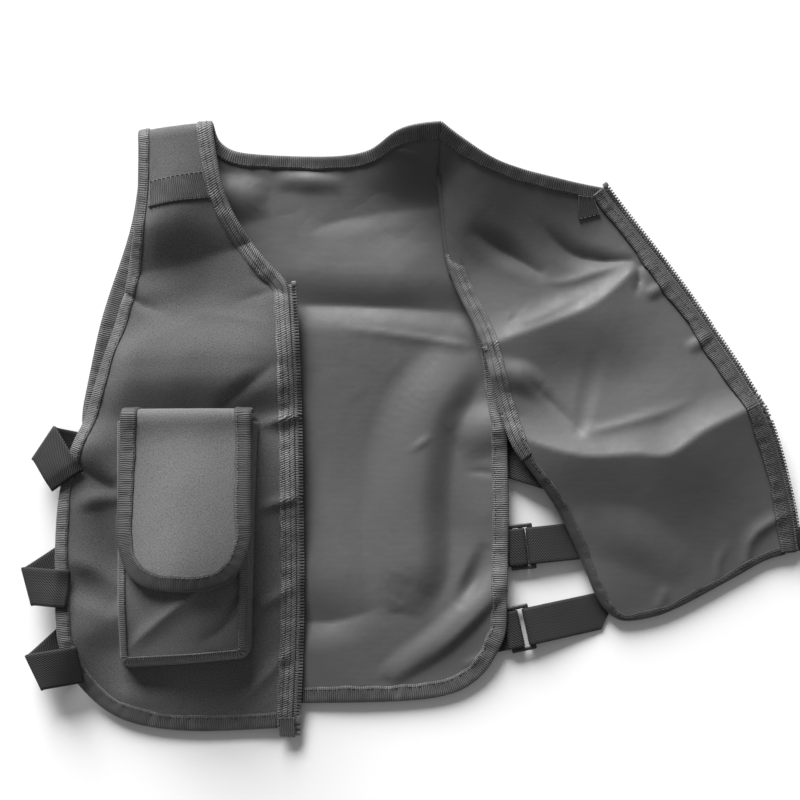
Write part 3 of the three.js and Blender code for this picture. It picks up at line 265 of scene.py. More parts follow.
BACK_FOLDS = [
    Crease(((-70, 136, 10, 0), (-50, 143, 13, -2.6), (-20, 149, 14, -2.8), (5, 152, 12, -1.6),
          (18, 153, 10, -1)), 2.2),
    Crease(((-84, 85, 20, -6), (-7, 82, 20, -6.6), (41, 79, 19, -6), (58, 76, 16, -1)), 1.3),
    Crease(((-48, 68, 8, 0), (-10, 63, 9, 1.0), (31, 57, 9, 1.3), (44, 55, 8, 0)), 0.6),
    Fold(((46, 50, 26, 0), (29, 30, 32, 5.5), (12, -2, 38, 8.5), (5, -50, 40, 9), (6, -92, 38, 8.5),
          (2, -112, 30, 4), (-2, -128, 24, 0)), 0.6),
    Fold(((30, -12, 18, 0), (42, -6, 20, 3), (60, 0, 20, 4)), 1.1),
    Crease(((36, -31, 4, 0), (46, -31, 5, -0.7), (54, -32, 5, -1))),
    Crease(((-1, -18, 4, 0), (8, -12, 4, 1.2), (15, -6, 4, 0))),
    Crease(((-84, -131, 20, -5), (-58, -133, 20, -5), (-34, -128, 18, -2), (-14, -120, 14, 0)), 2.0),
    Fold(((64, -104, 14, 2), (48, -121, 15, 4), (21, -147, 16, 3.6), (-7, -166, 14, 2),
          (-14, -173, 10, 0)), 0.6),
    Crease(((62, -112, 6, 0), (40, -134, 6, 1.3), (12, -160, 6, 0))),
    Fold(((50, -86, 8, -1), (43, -104, 9, -3.5), (36, -118, 8, -1))),
    Crease(((34, -162, 4, 0), (44, -158, 4, 1.3), (52, -152, 4, 0))),
    Fold(((-96, 172, 9, 0), (-70, 171, 10, 2.5), (-44, 169, 9, 0)), 0.8),
    Fold(((-142, 160, 22, 5), (-116, 160, 20, 4.5), (-98, 160, 14, 0)), 0.9),
    Crease(((-10, 189, 5, 1), (2, 186, 5, 2.5), (14, 181, 5, 1)), 0.6),
]
LEFT_FOLDS = [
    Crease(((54, 53, 44, 1), (61, 57, 56, 4), (99, 71, 60, 6), (126, 83, 56, 6), (149, 103, 30, 4.5),
          (156, 111, 14, 0)), 0.38),
    Crease(((92, 98, 6, 0), (112, 100, 7, 1.4), (140, 110, 6, 1.4), (152, 113, 5, 0))),
    Crease(((70, 68, 7, 0), (86, 73, 8, 1.2), (104, 82, 8, 1.0), (124, 93, 6, 0))),
    Crease(((92, 136, 12, -1), (112, 119, 13, -5), (135, 114, 10, -4), (152, 114, 7, -1.5))),
    Crease(((46, 132, 12, -2), (66, 120, 14, -5.5), (88, 106, 10, -2))),
    Crease(((157, 110, 6, -1), (157, 100, 6, -2.5), (154, 88, 6, 0))),
    Fold(((160, 90, 6, 0), (167, 92, 6, 2), (174, 97, 5, 1))),
    Fold(((188, 52, 6, 0), (196, 56, 6, 1.8), (204, 62, 5, 1))),
    Fold(((62, 36, 12, 2), (76, 32, 13, 4), (88, 24, 10, 1))),
    Crease(((78, 33, 6, -0.5), (96, 15, 7, -1.4), (113, -3, 8, -0.7))),
    Fold(((127, 52, 8, 0), (121, 24, 9, -1.0), (115, -3, 7, -0.8))),
    Crease(((66, 2, 50, 1), (78, -10, 60, 5), (116, -21, 60, 7.2), (150, -20, 60, 7.2), (174, -20, 60, 7.8),
          (198, -4, 56, 8.2), (227, 10, 44, 6.4), (243, 17, 20, 1)), 0.44),
    Crease(((116, -6, 7, 0), (134, -2, 8, 1.2), (170, 8, 9, 1.2), (196, 20, 8, 0))),
    Crease(((258, -60, 9, 0.5), (243, -67, 10, 2.6), (232, -77, 10, 2.4), (228, -92, 8, 1.5)), 0.8),
    Crease(((216, -78, 7, 0), (210, -90, 7, 1.1), (208, -102, 6, 1))),
    Crease(((170, -108, 7, 0), (172, -114, 7, 1.0), (168, -122, 6, 0.8))),
    Fold(((122, -70, 20, 1), (150, -76, 22, 2.5), (176, -92, 18, 1))),
]


class HeightField:
    """Height of a ply's middle: a thin plate through set points, resting on a floor, with folds on it."""

    SCALE = 0.01

    def __init__(self, rows: Sequence[Triple], folds: Sequence[Fold], floor: float) -> None:
        """Solves the plate.

        Args:
            rows: Set points as x, y and height.
            folds: Folds laid on the plate.
            floor: Lowest height of the ply's middle before folds.
        """
        table = np.array(rows, float)
        self.anchor = table[:, :2] * self.SCALE
        self.folds = folds
        self.floor = floor
        count = len(table)
        linear = np.hstack([np.ones((count, 1)), self.anchor])
        system = np.zeros((count + 3, count + 3))
        system[:count, :count] = self.kernel(self.anchor)
        system[:count, count:] = linear
        system[count:, :count] = linear.T
        self.weight = np.linalg.solve(system, np.concatenate([table[:, 2], np.zeros(3)]))

    def kernel(self, plan: Array) -> Array:
        """Thin-plate kernel between scaled plan points and the set points."""
        square = ((plan[:, None, :] - self.anchor[None, :, :]) ** 2).sum(-1)
        return 0.5 * square * np.log(np.maximum(square, 1e-12))

    def __call__(self, x: Array, y: Array) -> Array:
        """Height at plan positions.

        Args:
            x: Positions across the table.
            y: Positions up the table.

        Returns:
            The heights, in millimetres.
        """
        x, y = np.asarray(x, float), np.asarray(y, float)
        plan = np.column_stack([x.ravel(), y.ravel()]) * self.SCALE
        count = len(self.anchor)
        plate = self.kernel(plan) @ self.weight[:count] + self.weight[count]
        plate = (plate + plan @ self.weight[count + 1:]).reshape(x.shape)
        lifts = [fold.lift(x, y) for fold in self.folds]
        plate = plate + sum(np.minimum(lift, 0) for lift in lifts)
        overlap = np.maximum(EASE - np.abs(plate - self.floor), 0)
        height = np.maximum(plate, self.floor) + overlap**2 / (4 * EASE)
        return height + sum(np.maximum(lift, 0) for lift in lifts)


def unit(vectors: Array) -> Array:
    """The vectors at unit length."""
    return vectors / np.maximum(np.linalg.norm(vectors, axis=-1, keepdims=True), 1e-9)


def left_of(directions: Array) -> Array:
    """Plan directions turned a quarter to their left."""
    return np.stack([-directions[..., 1], directions[..., 0]], axis=-1)


def spline(points: Sequence[Point], per_span: int = 40) -> Array:
    """A uniform Catmull-Rom curve through plan points.

    Args:
        points: The points it passes through.
        per_span: Samples between two points.

    Returns:
        The samples, in order.
    """
    knots = np.array(points, float)
    padded = np.vstack([knots[:1], knots, knots[-1:]])
    t = np.linspace(0, 1, per_span, endpoint=False)[:, None]
    spans = []
    for p0, p1, p2, p3 in zip(padded, padded[1:], padded[2:], padded[3:]):
        v0, v1 = (p2 - p0) / 2, (p3 - p1) / 2
        cubic = (2 * p1 - 2 * p2 + v0 + v1) * t**3 + (-3 * p1 + 3 * p2 - 2 * v0 - v1) * t**2
        spans.append(cubic + v0 * t + p1)
    return np.vstack([*spans, knots[-1:]])


def lengths(points: Array) -> Array:
    """Distance along a line of points, from its start."""
    return np.concatenate([[0.0], np.cumsum(np.linalg.norm(np.diff(points, axis=0), axis=1))])


def sample(at: Array, along: Array, values: Array) -> Array:
    """Rows of values at distances along a line."""
    return np.column_stack([np.interp(at, along, column) for column in values.T])


def resample(points: Array, step: float) -> Array:
    """A line's points at an even step, its ends kept.

    Args:
        points: The line.
        step: Wanted distance between points.

    Returns:
        The new points.
    """
    along = lengths(points)
    count = max(2, int(round(along[-1] / step)) + 1)
    at = np.linspace(0, along[-1], count)
    return sample(at, along, points)


def soften(points: Array, step: float, reach: float) -> Array:
    """Rounds the corners of an evenly spaced line.

    Args:
        points: The line.
        step: Its spacing.
        reach: Spread of the rounding, in the same unit.

    Returns:
        The rounded line, its ends kept.
    """
    half = int(3 * reach / step)
    weights = np.exp(-0.5 * (np.arange(-half, half + 1) * step / reach) ** 2)
    weights /= weights.sum()
    half = min(half, len(points) - 1)
    weights = weights[len(weights) // 2 - half: len(weights) // 2 + half + 1]
    weights /= weights.sum()
    before = 2 * points[0] - points[half:0:-1]
    after = 2 * points[-1] - points[-2:-half - 2:-1]
    padded = np.vstack([before, points, after])
    columns = [np.convolve(padded[:, k], weights, mode="valid") for k in range(points.shape[1])]
    return np.column_stack(columns)


def waver(along: Array, seed: int, periods: Pair) -> Array:
    """A smooth uneven wave between about -1 and 1.

    Args:
        along: Distances along a run.
        seed: Picks the wave.
        periods: Shortest and longest wavelength.

    Returns:
        The wave at each distance.
    """
    rng = np.random.default_rng(seed)
    wave = np.zeros_like(along)
    for _ in range(5):
        period = rng.uniform(*periods)
        wave += np.sin(2 * math.pi * along / period + rng.uniform(0, 2 * math.pi))
    return wave / 3


@dataclass
class EdgeRun:
    """Points along a ply's edge with the plan direction into the cloth."""

    plan: Array
    inward: Array
    along: Array

    def at_depth(self, depth: Array | float) -> Array:
        """Plan points at a distance inside the edge."""
        return self.plan + self.inward * np.reshape(depth, (-1, 1))


class Surface:
    """Something that lays pattern points in space."""

    DELTA = 0.4

    def lay(self, plan: Array) -> Array:
        """Points in space, in millimetres, for pattern points."""
        raise NotImplementedError

    def frames(self, plan: Array) -> tuple[Array, Array]:
        """Points and upper normals.

        Args:
            plan: Pattern points.

        Returns:
            The points and their unit normals.
        """
        dx, dy = np.array([self.DELTA, 0.0]), np.array([0.0, self.DELTA])
        across = self.lay(plan + dx) - self.lay(plan - dx)
        upward = self.lay(plan + dy) - self.lay(plan - dy)
        return self.lay(plan), unit(np.cross(across, upward))


@dataclass
class Ply(Surface):
    """One layer of cloth: its pattern's edge runs, anticlockwise, and how it lies."""

    runs: dict[str, list[list[Point]]]
    height: HeightField
    roll: int = 0
    rounding: float = 5.0
    outline: tuple[str, ...] = ()

    def lay(self, plan: Array) -> Array:
        """Places pattern points on the lying cloth's middle.

        Args:
            plan: Pattern points.

        Returns:
            Points in space, in millimetres.
        """
        past = np.zeros(len(plan))
        if self.roll:
            past = np.maximum((plan - np.array(ROLL_ARM)) @ ROLL_OUT, 0)
        turn = past / ROLL_RADIUS
        foot = plan - past[:, None] * ROLL_OUT
        place = foot + (ROLL_RADIUS * np.sin(turn))[:, None] * ROLL_OUT
        z = self.height(foot[:, 0], foot[:, 1]) - self.roll * ROLL_RADIUS * (1 - np.cos(turn))
        return np.column_stack([place, z])

    def run(self, name: str, step: float, trim: Pair = (0.0, 0.0)) -> EdgeRun:
        """One run of the outline, with rounded corners.

        Args:
            name: The run, or several joined by plus signs.
            step: Distance between points.
            trim: Length left off its start and end.

        Returns:
            The run's points.
        """
        line = np.vstack([spline(points) for part in name.split("+") for points in self.runs[part]])
        line = line[np.concatenate([[True], np.linalg.norm(np.diff(line, axis=0), axis=1) > 1e-6])]
        line = soften(resample(line, FINE_STEP), FINE_STEP, self.rounding)
        along = lengths(line)
        count = max(2, int(round((along[-1] - sum(trim)) / step)) + 1)
        at = np.linspace(trim[0], along[-1] - trim[1], count)
        slope = unit(np.gradient(line, axis=0))
        return EdgeRun(sample(at, along, line), left_of(unit(sample(at, along, slope))), at - trim[0])

    def ring(self, step: float, insets: dict[str, float]) -> Array:
        """The outline set in from its finished edge.

        Args:
            step: Distance between points.
            insets: Distance for each run that differs from the cloth's own.

        Returns:
            The closed ring's plan points.
        """
        names = self.outline or tuple(self.runs)
        runs = [self.run(name, step) for name in names]
        depth = [insets.get(name, CLOTH_INSET) for name in names]
        ring = []
        for k, run in enumerate(runs):
            before = runs[k - 1]
            sides = np.array([before.inward[-1], run.inward[0]])
            if abs(np.linalg.det(sides)) > 0.2:
                corner = np.linalg.solve(sides, [depth[k - 1], depth[k]])
            else:
                corner = run.inward[0] * depth[k]
            ring.append([run.plan[0] + corner])
            ring.append(run.at_depth(depth[k])[1:-1])
        return np.vstack(ring)


@dataclass
class Shape:
    """A mesh being gathered: points in millimetres, faces, pattern coordinates and finishes."""

    points: list[Array] = field(default_factory=list)
    faces: Faces = field(default_factory=list)
    pattern: list[Array] = field(default_factory=list)
    finish: list[int] = field(default_factory=list)
    count: int = 0

    def add(self, points: Array, faces: Faces, pattern: Array, finish: int = 0) -> None:
        """Adds a part.

        Args:
            points: Its points, in millimetres.
            faces: Its faces, by its own point numbers.
            pattern: Its pattern coordinates, in millimetres.
            finish: Number of its finish.
        """
        base = self.count
        self.points.append(points)
        self.pattern.append(pattern)
        self.faces.extend(tuple(k + base for k in face) for face in faces)
        self.finish.extend([finish] * len(faces))
        self.count += len(points)


def make_piece(name: str, shape: Shape, finishes: Sequence["Finish"],
               nodes: Sequence[str] = (), angle: float | None = None) -> Piece:
    """Turns a gathered shape into a piece that rides with the vest.

    Args:
        name: Name of the piece.
        shape: Its points and faces.
        finishes: Its finishes, in the order that the faces number them.
        nodes: CAD nodes that it stands for.
        angle: Edges sharper than this, in degrees, stay hard; none given shades all smooth.

    Returns:
        The finished object.
    """
    points = (np.vstack(shape.points) + TABLE_SHIFT) * MM
    pattern = np.vstack(shape.pattern) * MM
    mesh = bpy.data.meshes.new(name)
    mesh.from_pydata(points.tolist(), [], shape.faces)
    corners = np.empty(len(mesh.loops), dtype=np.int32)
    mesh.loops.foreach_get("vertex_index", corners)
    layer = mesh.uv_layers.new(name="Pattern")
    layer.data.foreach_set("uv", pattern[corners].astype(np.float32).ravel())
    for finish in finishes:
        mesh.materials.append(finish.material())
    mesh.polygons.foreach_set("material_index", np.array(shape.finish, dtype=np.int32))
    mesh.shade_smooth()
    mesh.validate()
    piece = bpy.data.objects.new(name, mesh)
    bpy.context.scene.collection.objects.link(piece)
    if angle is not None:
        mesh.set_sharp_from_angle(angle=math.radians(angle))
    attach(piece, "root")
    if nodes:
        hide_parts(*nodes)
    LOG.info("%s: %d faces", name, len(mesh.polygons))
    return piece


def fill(ring: Array, step: float, extra: Array | None = None,
         clear: Callable[[Array], Array] | None = None) -> Model:
    """Triangulates the inside of a ring with an even lattice.

    Args:
        ring: The closed ring's plan points, anticlockwise.
        step: Lattice spacing.
        extra: Plan points to include as they are.
        clear: Says which lattice points to keep.

    Returns:
        The plan points, ring first, and the triangles.
    """
    low, high = ring.min(0), ring.max(0)
    rows = np.arange(low[1], high[1], step * math.sqrt(0.75))
    columns = np.arange(low[0], high[0] + step, step)
    grid = np.array([(x + (j % 2) * step / 2, y) for j, y in enumerate(rows) for x in columns])
    follow = np.roll(ring, -1, axis=0)
    inside = np.zeros(len(grid), bool)
    distance = np.full(len(grid), 1e9)
    for a, b in zip(ring, follow):
        crosses = (a[1] > grid[:, 1]) != (b[1] > grid[:, 1])
        if crosses.any():
            at = a[0] + (grid[:, 1] - a[1]) * (b[0] - a[0]) / (b[1] - a[1] + 1e-12)
            inside ^= crosses & (grid[:, 0] < at)
        distance = np.minimum(distance, ((grid - a) ** 2).sum(1))
    keep = inside & (distance > (RIM_CLEAR * step) ** 2)
    if clear is not None:
        keep &= clear(grid)
    points = [ring, grid[keep]] if extra is None else [ring, grid[keep], extra]
    plan = np.vstack(points)
    edges = [(k, (k + 1) % len(ring)) for k in range(len(ring))]
    made = delaunay_2d_cdt([Vector(p) for p in plan], edges, [], 1, 1e-6)
    placed = np.array([tuple(p) for p in made[0]])
    return placed, [tuple(face) for face in made[2]]


def sheet_shape(ply: Surface, plan: Array, faces: Faces, rim: int, up: int, down: int) -> Shape:
    """A closed sheet of cloth: two faces and a rim.

    Args:
        ply: How the cloth lies.
        plan: Pattern points, the rim's first.
        faces: Triangles between them.
        rim: Number of rim points.
        up: Finish number of the upper face.
        down: Finish number of the lower face.

    Returns:
        The sheet.
    """
    points, normals = ply.frames(plan)
    shape = Shape()
    shape.add(points + normals * HALF_CLOTH, faces, plan, up)
    shape.add(points - normals * HALF_CLOTH, [face[::-1] for face in faces], plan, down)
    below = len(plan)
    for k in range(rim):
        after = (k + 1) % rim
        shape.faces.append((after, k, k + below, after + below))
        shape.finish.append(up)
    return shape


def ring_loft(rings: Array) -> Faces:
    """Faces of a loft between equal closed sections, with end caps.

    Args:
        rings: Sections as an array of section, point and coordinate.

    Returns:
        The faces, by point number.
    """
    sections, wide = rings.shape[:2]
    faces = []
    for i in range(sections - 1):
        for k in range(wide):
            after = (k + 1) % wide
            faces.append((i * wide + k, i * wide + after, (i + 1) * wide + after, (i + 1) * wide + k))
    last = (sections - 1) * wide
    faces.append(tuple(range(wide))[::-1])
    faces.append(tuple(last + k for k in range(wide)))
    return faces


def from_lowest(face: tuple[int, ...]) -> tuple[int, ...]:
    """A face from its lowest corner on; one with four corners keeps its diagonal.

    Args:
        face: Its point numbers.

    Returns:
        The same corners in the same sense.
    """
    first = face.index(min(face[::2] if len(face) == 4 else face))
    return face[first:] + face[:first]


class Bench:
    """One small hard piece shaped with edit operators, in millimetres about its own origin."""

    DIGITS = 4

    def __init__(self) -> None:
        """Starts with nothing selected."""
        bpy.ops.object.select_all(action="DESELECT")
        self.piece: Piece | None = None

    def begin(self) -> None:
        """Takes the new primitive, keeps its size and place in the mesh and enters edit mode."""
        bpy.ops.object.transform_apply(location=True, rotation=True, scale=True)
        self.piece = bpy.context.active_object
        bpy.ops.object.mode_set(mode="EDIT")
        bpy.ops.mesh.select_mode(type="FACE")

    def block(self, size: Triple, centre: Triple) -> None:
        """A box of a given size about its middle."""
        bpy.ops.mesh.primitive_cube_add(size=1, location=centre, scale=size)
        self.begin()

    def rod(self, radius: float, length: float, sides: int) -> None:
        """A rod along X, with flat sides."""
        turn = (0, math.pi / 2, 0)
        bpy.ops.mesh.primitive_cylinder_add(vertices=sides, radius=radius, depth=length, rotation=turn)
        self.begin()

    def plate(self, size: Pair, centre: Triple) -> None:
        """A flat plate facing up.

        Args:
            size: Its sides.
            centre: Its middle.
        """
        bpy.ops.mesh.primitive_plane_add(size=1, location=centre)
        bpy.context.active_object.scale = (*size, 1)
        self.begin()

    def pick(self, test: Callable[[Vector, Vector], bool]) -> None:
        """Selects the faces whose middle and normal pass a test.

        Args:
            test: Takes a face's middle and normal.
        """
        bpy.ops.object.mode_set(mode="OBJECT")
        mesh = self.piece.data
        for item in (*mesh.edges, *mesh.vertices):
            item.select = False
        for face in mesh.polygons:
            face.select = bool(test(face.center, face.normal))
        bpy.ops.object.mode_set(mode="EDIT")

    def extrude(self, by: Triple) -> None:
        """Extrudes what is selected and moves it."""
        bpy.ops.mesh.extrude_region_move(TRANSFORM_OT_translate={"value": by})

    def resize(self, by: Triple) -> None:
        """Scales what is selected about its own middle."""
        bpy.ops.transform.resize(value=by)

    def cut(self, at: Triple, normal: Triple) -> None:
        """Cuts every face along the plane through a point with a normal."""
        bpy.ops.mesh.select_all(action="SELECT")
        bpy.ops.mesh.bisect(plane_co=at, plane_no=normal)

    def finish(self, bevel: float, segments: int = 2) -> Model:
        """Rounds the edges and hands the mesh over.

        Args:
            bevel: Width of the rounding.
            segments: Its steps.

        Returns:
            The points and the faces, sorted because edit operators don't keep one order.
        """
        bpy.ops.mesh.select_all(action="SELECT")
        bpy.ops.mesh.normals_make_consistent(inside=False)
        bpy.ops.object.mode_set(mode="OBJECT")
        if bevel:
            rounding = self.piece.modifiers.new("Rounding", "BEVEL")
            rounding.width = bevel
            rounding.segments = segments
            rounding.limit_method = "ANGLE"
            bpy.ops.object.modifier_apply(modifier=rounding.name)
        mesh = self.piece.data
        points = np.array([tuple(v.co) for v in mesh.vertices]).round(self.DIGITS)
        order = np.lexsort(points.T)
        number = np.argsort(order)
        faces = [tuple(number[list(face.vertices)].tolist()) for face in mesh.polygons]
        faces = sorted(from_lowest(face) for face in faces)
        bpy.data.objects.remove(self.piece)
        bpy.data.meshes.remove(mesh)
        return points[order], faces


def place_copies(shape: Shape, model: Model, origin: Array, x: Array, y: Array, z: Array,
                 finish: int = 0) -> None:
    """Adds a copy of a small model at each place.

    Args:
        shape: Where the copies go.
        model: Points and faces of the model.
        origin: Place of each copy.
        x: Direction of the model's X at each place.
        y: Direction of its Y.
        z: Direction of its Z.
        finish: Number of the finish.
    """
    points, faces = model
    for o, a, b, c in zip(origin, x, y, z):
        placed = o + points[:, :1] * a + points[:, 1:2] * b + points[:, 2:] * c
        shape.add(placed, faces, points[:, :2] + o[:2], finish)


class Graph:
    """Short ways to add and join nodes in one tree."""

    def __init__(self, tree: bpy.types.NodeTree) -> None:
        """Keeps the tree."""
        self.tree = tree

    def add(self, kind: str, **inputs: object) -> Node:
        """Adds a node.

        Args:
            kind: Its type, without the ShaderNode prefix.
            inputs: Values or sockets for its inputs, with underscores for spaces.

        Returns:
            The node.
        """
        node = self.tree.nodes.new("ShaderNode" + kind)
        for name, value in inputs.items():
            self.feed(node.inputs[name.replace("_", " ")], value)
        return node

    def feed(self, socket: Socket, value: object) -> None:
        """Links a socket or sets a value."""
        if isinstance(value, Socket):
            self.tree.links.new(value, socket)
        else:
            socket.default_value = value

    def math(self, operation: str, *values: object) -> Socket:
        """A Math node.

        Args:
            operation: What it does.
            values: Its numbers or sockets.

        Returns:
            Its result.
        """
        node = self.add("Math")
        node.operation = operation
        for socket, value in zip(node.inputs, values):
            self.feed(socket, value)
        return node.outputs[0]

    def span(self, value: object, low: float, high: float) -> Socket:
        """Maps 0 to 1 onto a low and a high value."""
        return self.math("MULTIPLY_ADD", value, high - low, low)

    def mix(self, share: object, first: object, second: object) -> Socket:
        """Mixes two colours.

        Args:
            share: Share of the second.
            first: First colour.
            second: Second colour.

        Returns:
            The mixed colour.
        """
        node = self.add("Mix")
        node.data_type = "RGBA"
        for socket, value in zip((node.inputs[0], node.inputs[6], node.inputs[7]), (share, first, second)):
            self.feed(socket, value)
        return node.outputs[2]

    def noise(self, vector: object, scale: float, detail: float = 3.0) -> Socket:
        """Noise between 0 and 1."""
        node = self.add("TexNoise", Vector=vector, Scale=scale, Detail=detail)
        return node.outputs["Fac"]


FLOAT = "NodeSocketFloat"
VECTOR = "NodeSocketVector"


class Effect:
    """A shader node group with named sockets, built once."""

    name = "Effect"
    inputs: dict[str, str] = {}
    outputs: dict[str, str] = {}

    def group(self) -> bpy.types.NodeTree:
        """The group, built at first use."""
        known = bpy.data.node_groups.get(self.name)
        if known:
            return known
        tree = bpy.data.node_groups.new(self.name, "ShaderNodeTree")
        for label, kind in self.inputs.items():
            tree.interface.new_socket(label, in_out="INPUT", socket_type=kind)
        for label, kind in self.outputs.items():
            tree.interface.new_socket(label, in_out="OUTPUT", socket_type=kind)
        graph = Graph(tree)
        given = tree.nodes.new("NodeGroupInput")
        made = tree.nodes.new("NodeGroupOutput")
        for label, socket in self.wire(graph, given).items():
            tree.links.new(socket, made.inputs[label])
        return tree

    def wire(self, graph: Graph, given: Node) -> dict[str, Socket]:
        """Builds the nodes and gives the output sockets."""
        raise NotImplementedError

    def cells(self, graph: Graph, given: Node) -> list[Socket]:
        """The two pattern coordinates, counted in pitches."""
        split = graph.add("SeparateXYZ", Vector=given.outputs["Vector"])
        return [graph.math("DIVIDE", split.outputs[axis], given.outputs["Pitch"]) for axis in "XY"]

    def place(self, graph: Graph, **inputs: object) -> Node:
        """Places the group in a material.

        Args:
            graph: The material's nodes.
            inputs: Values or sockets for the group's inputs.

        Returns:
            The group node.
        """
        node = graph.add("Group")
        node.node_tree = self.group()
        for label, value in inputs.items():
            graph.feed(node.inputs[label], value)
        return node


class WeaveEffect(Effect):
    """Threads that pass over and under each other."""

    THREADS_PER_METRE = 2050.0

    name = "Weave"
    inputs = {"Vector": VECTOR, "Pitch": FLOAT}
    outputs = {"Height": FLOAT, "Float": FLOAT}

    def wire(self, graph: Graph, given: Node) -> dict[str, Socket]:
        """Crossing threads from two sine waves, and uneven threads from stretched noise.

        Args:
            graph: The group's nodes.
            given: Its input node.

        Returns:
            Height of the threads and how far single threads stand out.
        """
        across, along = self.cells(graph, given)
        sine_x = graph.math("SINE", graph.math("MULTIPLY", across, math.pi))
        sine_y = graph.math("SINE", graph.math("MULTIPLY", along, math.pi))
        over = graph.math("GREATER_THAN", graph.math("MULTIPLY", sine_x, sine_y), 0.0)
        under = graph.math("SUBTRACT", 1.0, over)
        bow_x, bow_y = graph.math("ABSOLUTE", sine_x), graph.math("ABSOLUTE", sine_y)
        warp = graph.math("MULTIPLY", bow_x, graph.span(bow_y, 0.6, 1.0))
        weft = graph.math("MULTIPLY", bow_y, graph.span(bow_x, 0.6, 1.0))
        height = graph.math("ADD", graph.math("MULTIPLY", over, warp), graph.math("MULTIPLY", under, weft))
        floats = []
        for stretch in ((1.0, 0.4, 1.0), (0.4, 1.0, 1.0)):
            drawn = graph.add("VectorMath")
            drawn.operation = "MULTIPLY"
            graph.feed(drawn.inputs[0], given.outputs["Vector"])
            graph.feed(drawn.inputs[1], stretch)
            floats.append(graph.noise(drawn.outputs["Vector"], self.THREADS_PER_METRE, 1.0))
        return {"Height": height, "Float": graph.math("MAXIMUM", *floats)}


class RibEffect(Effect):
    """Ribs across a tape, with fine threads along it."""

    name = "Ribs"
    inputs = {"Vector": VECTOR, "Pitch": FLOAT}
    outputs = {"Height": FLOAT, "Thread": FLOAT}

    def wire(self, graph: Graph, given: Node) -> dict[str, Socket]:
        """Ribs from a sine wave, uneven in strength.

        Args:
            graph: The group's nodes.
            given: Its input node.

        Returns:
            Height of the ribs and of the threads on them.
        """
        along, threads = self.cells(graph, given)
        uneven = graph.noise(given.outputs["Vector"], 170.0, 2.0)
        shifted = graph.math("ADD", along, graph.math("MULTIPLY", uneven, 1.1))
        wave = graph.math("SINE", graph.math("MULTIPLY", shifted, 2 * math.pi))
        height = graph.math("MULTIPLY_ADD", wave, graph.span(uneven, 0.0, 0.85), 0.5)
        fine = graph.math("SINE", graph.math("MULTIPLY", threads, 5 * math.pi))
        return {"Height": height, "Thread": graph.span(fine, 0.5, 1.0)}


class TwillEffect(Effect):
    """Slanting ribs of webbing."""

    name = "Twill"
    inputs = {"Vector": VECTOR, "Pitch": FLOAT}
    outputs = {"Height": FLOAT}

    def wire(self, graph: Graph, given: Node) -> dict[str, Socket]:
        """Slanting ribs crossed by fine threads.

        Args:
            graph: The group's nodes.
            given: Its input node.

        Returns:
            Height of the weave.
        """
        along, across = self.cells(graph, given)
        slant = graph.math("MULTIPLY", graph.math("ADD", along, across), 2 * math.pi)
        cords = graph.math("ABSOLUTE", graph.math("SINE", graph.math("MULTIPLY", across, math.pi)))
        base = graph.math("MULTIPLY_ADD", cords, 0.25, 0.3)
        return {"Height": graph.math("MULTIPLY_ADD", graph.math("SINE", slant), 0.45, base)}


class AgeEffect(Effect):
    """Uneven dye, dust and rubbed places."""

    name = "Age"
    inputs = {"Vector": VECTOR}
    outputs = {"Mottle": FLOAT, "Rub": FLOAT, "Lint": FLOAT}

    def wire(self, graph: Graph, given: Node) -> dict[str, Socket]:
        """Three masks from noise.

        Args:
            graph: The group's nodes.
            given: Its input node.

        Returns:
            A broad mottle, finer rubbed patches and sparse lint.
        """
        place = given.outputs["Vector"]
        mottle = graph.noise(place, 16.0, 4.0)
        fine = graph.noise(place, 75.0, 5.0)
        rub = graph.math("MULTIPLY", graph.math("SUBTRACT", fine, 0.42), 3.5)
        specks = graph.noise(place, 900.0, 1.0)
        lint = graph.math("GREATER_THAN", specks, 0.76)
        clamp = graph.add("Clamp", Value=rub)
        return {"Mottle": mottle, "Rub": clamp.outputs[0], "Lint": lint}


@dataclass(frozen=True)
class Finish:
    """A surface finish with its colours and gloss."""

    SHEEN_ROUGHNESS = 0.4

    name: str
    dark: Triple
    light: Triple
    roughness: float
    sheen: float = 0.0
    specular: float = 0.5

    def material(self) -> bpy.types.Material:
        """The finish's material, built at first use."""
        known = bpy.data.materials.get(self.name)
        if known:
            return known
        material = bpy.data.materials.new(self.name)
        material.use_nodes = True
        graph = Graph(material.node_tree)
        shader = material.node_tree.nodes["Principled BSDF"]
        color, roughness, relief, depth = self.surface(graph, graph.add("TexCoord"))
        bump = graph.add("Bump", Height=relief, Distance=depth, Strength=1.0)
        for name, value in (
            ("Base Color", color), ("Roughness", roughness), ("Normal", bump.outputs["Normal"]),
            ("Sheen Weight", self.sheen), ("Sheen Roughness", self.SHEEN_ROUGHNESS),
            ("Specular IOR Level", self.specular),
        ):
            graph.feed(shader.inputs[name], value)
        return material

    def shade(self, graph: Graph, share: object) -> Socket:
        """Colour between the finish's dark and light."""
        return graph.mix(share, (*self.dark, 1), (*self.light, 1))

    def surface(self, graph: Graph, coords: Node) -> Layers:
        """Colour, roughness, relief and the relief's depth in metres."""
        raise NotImplementedError


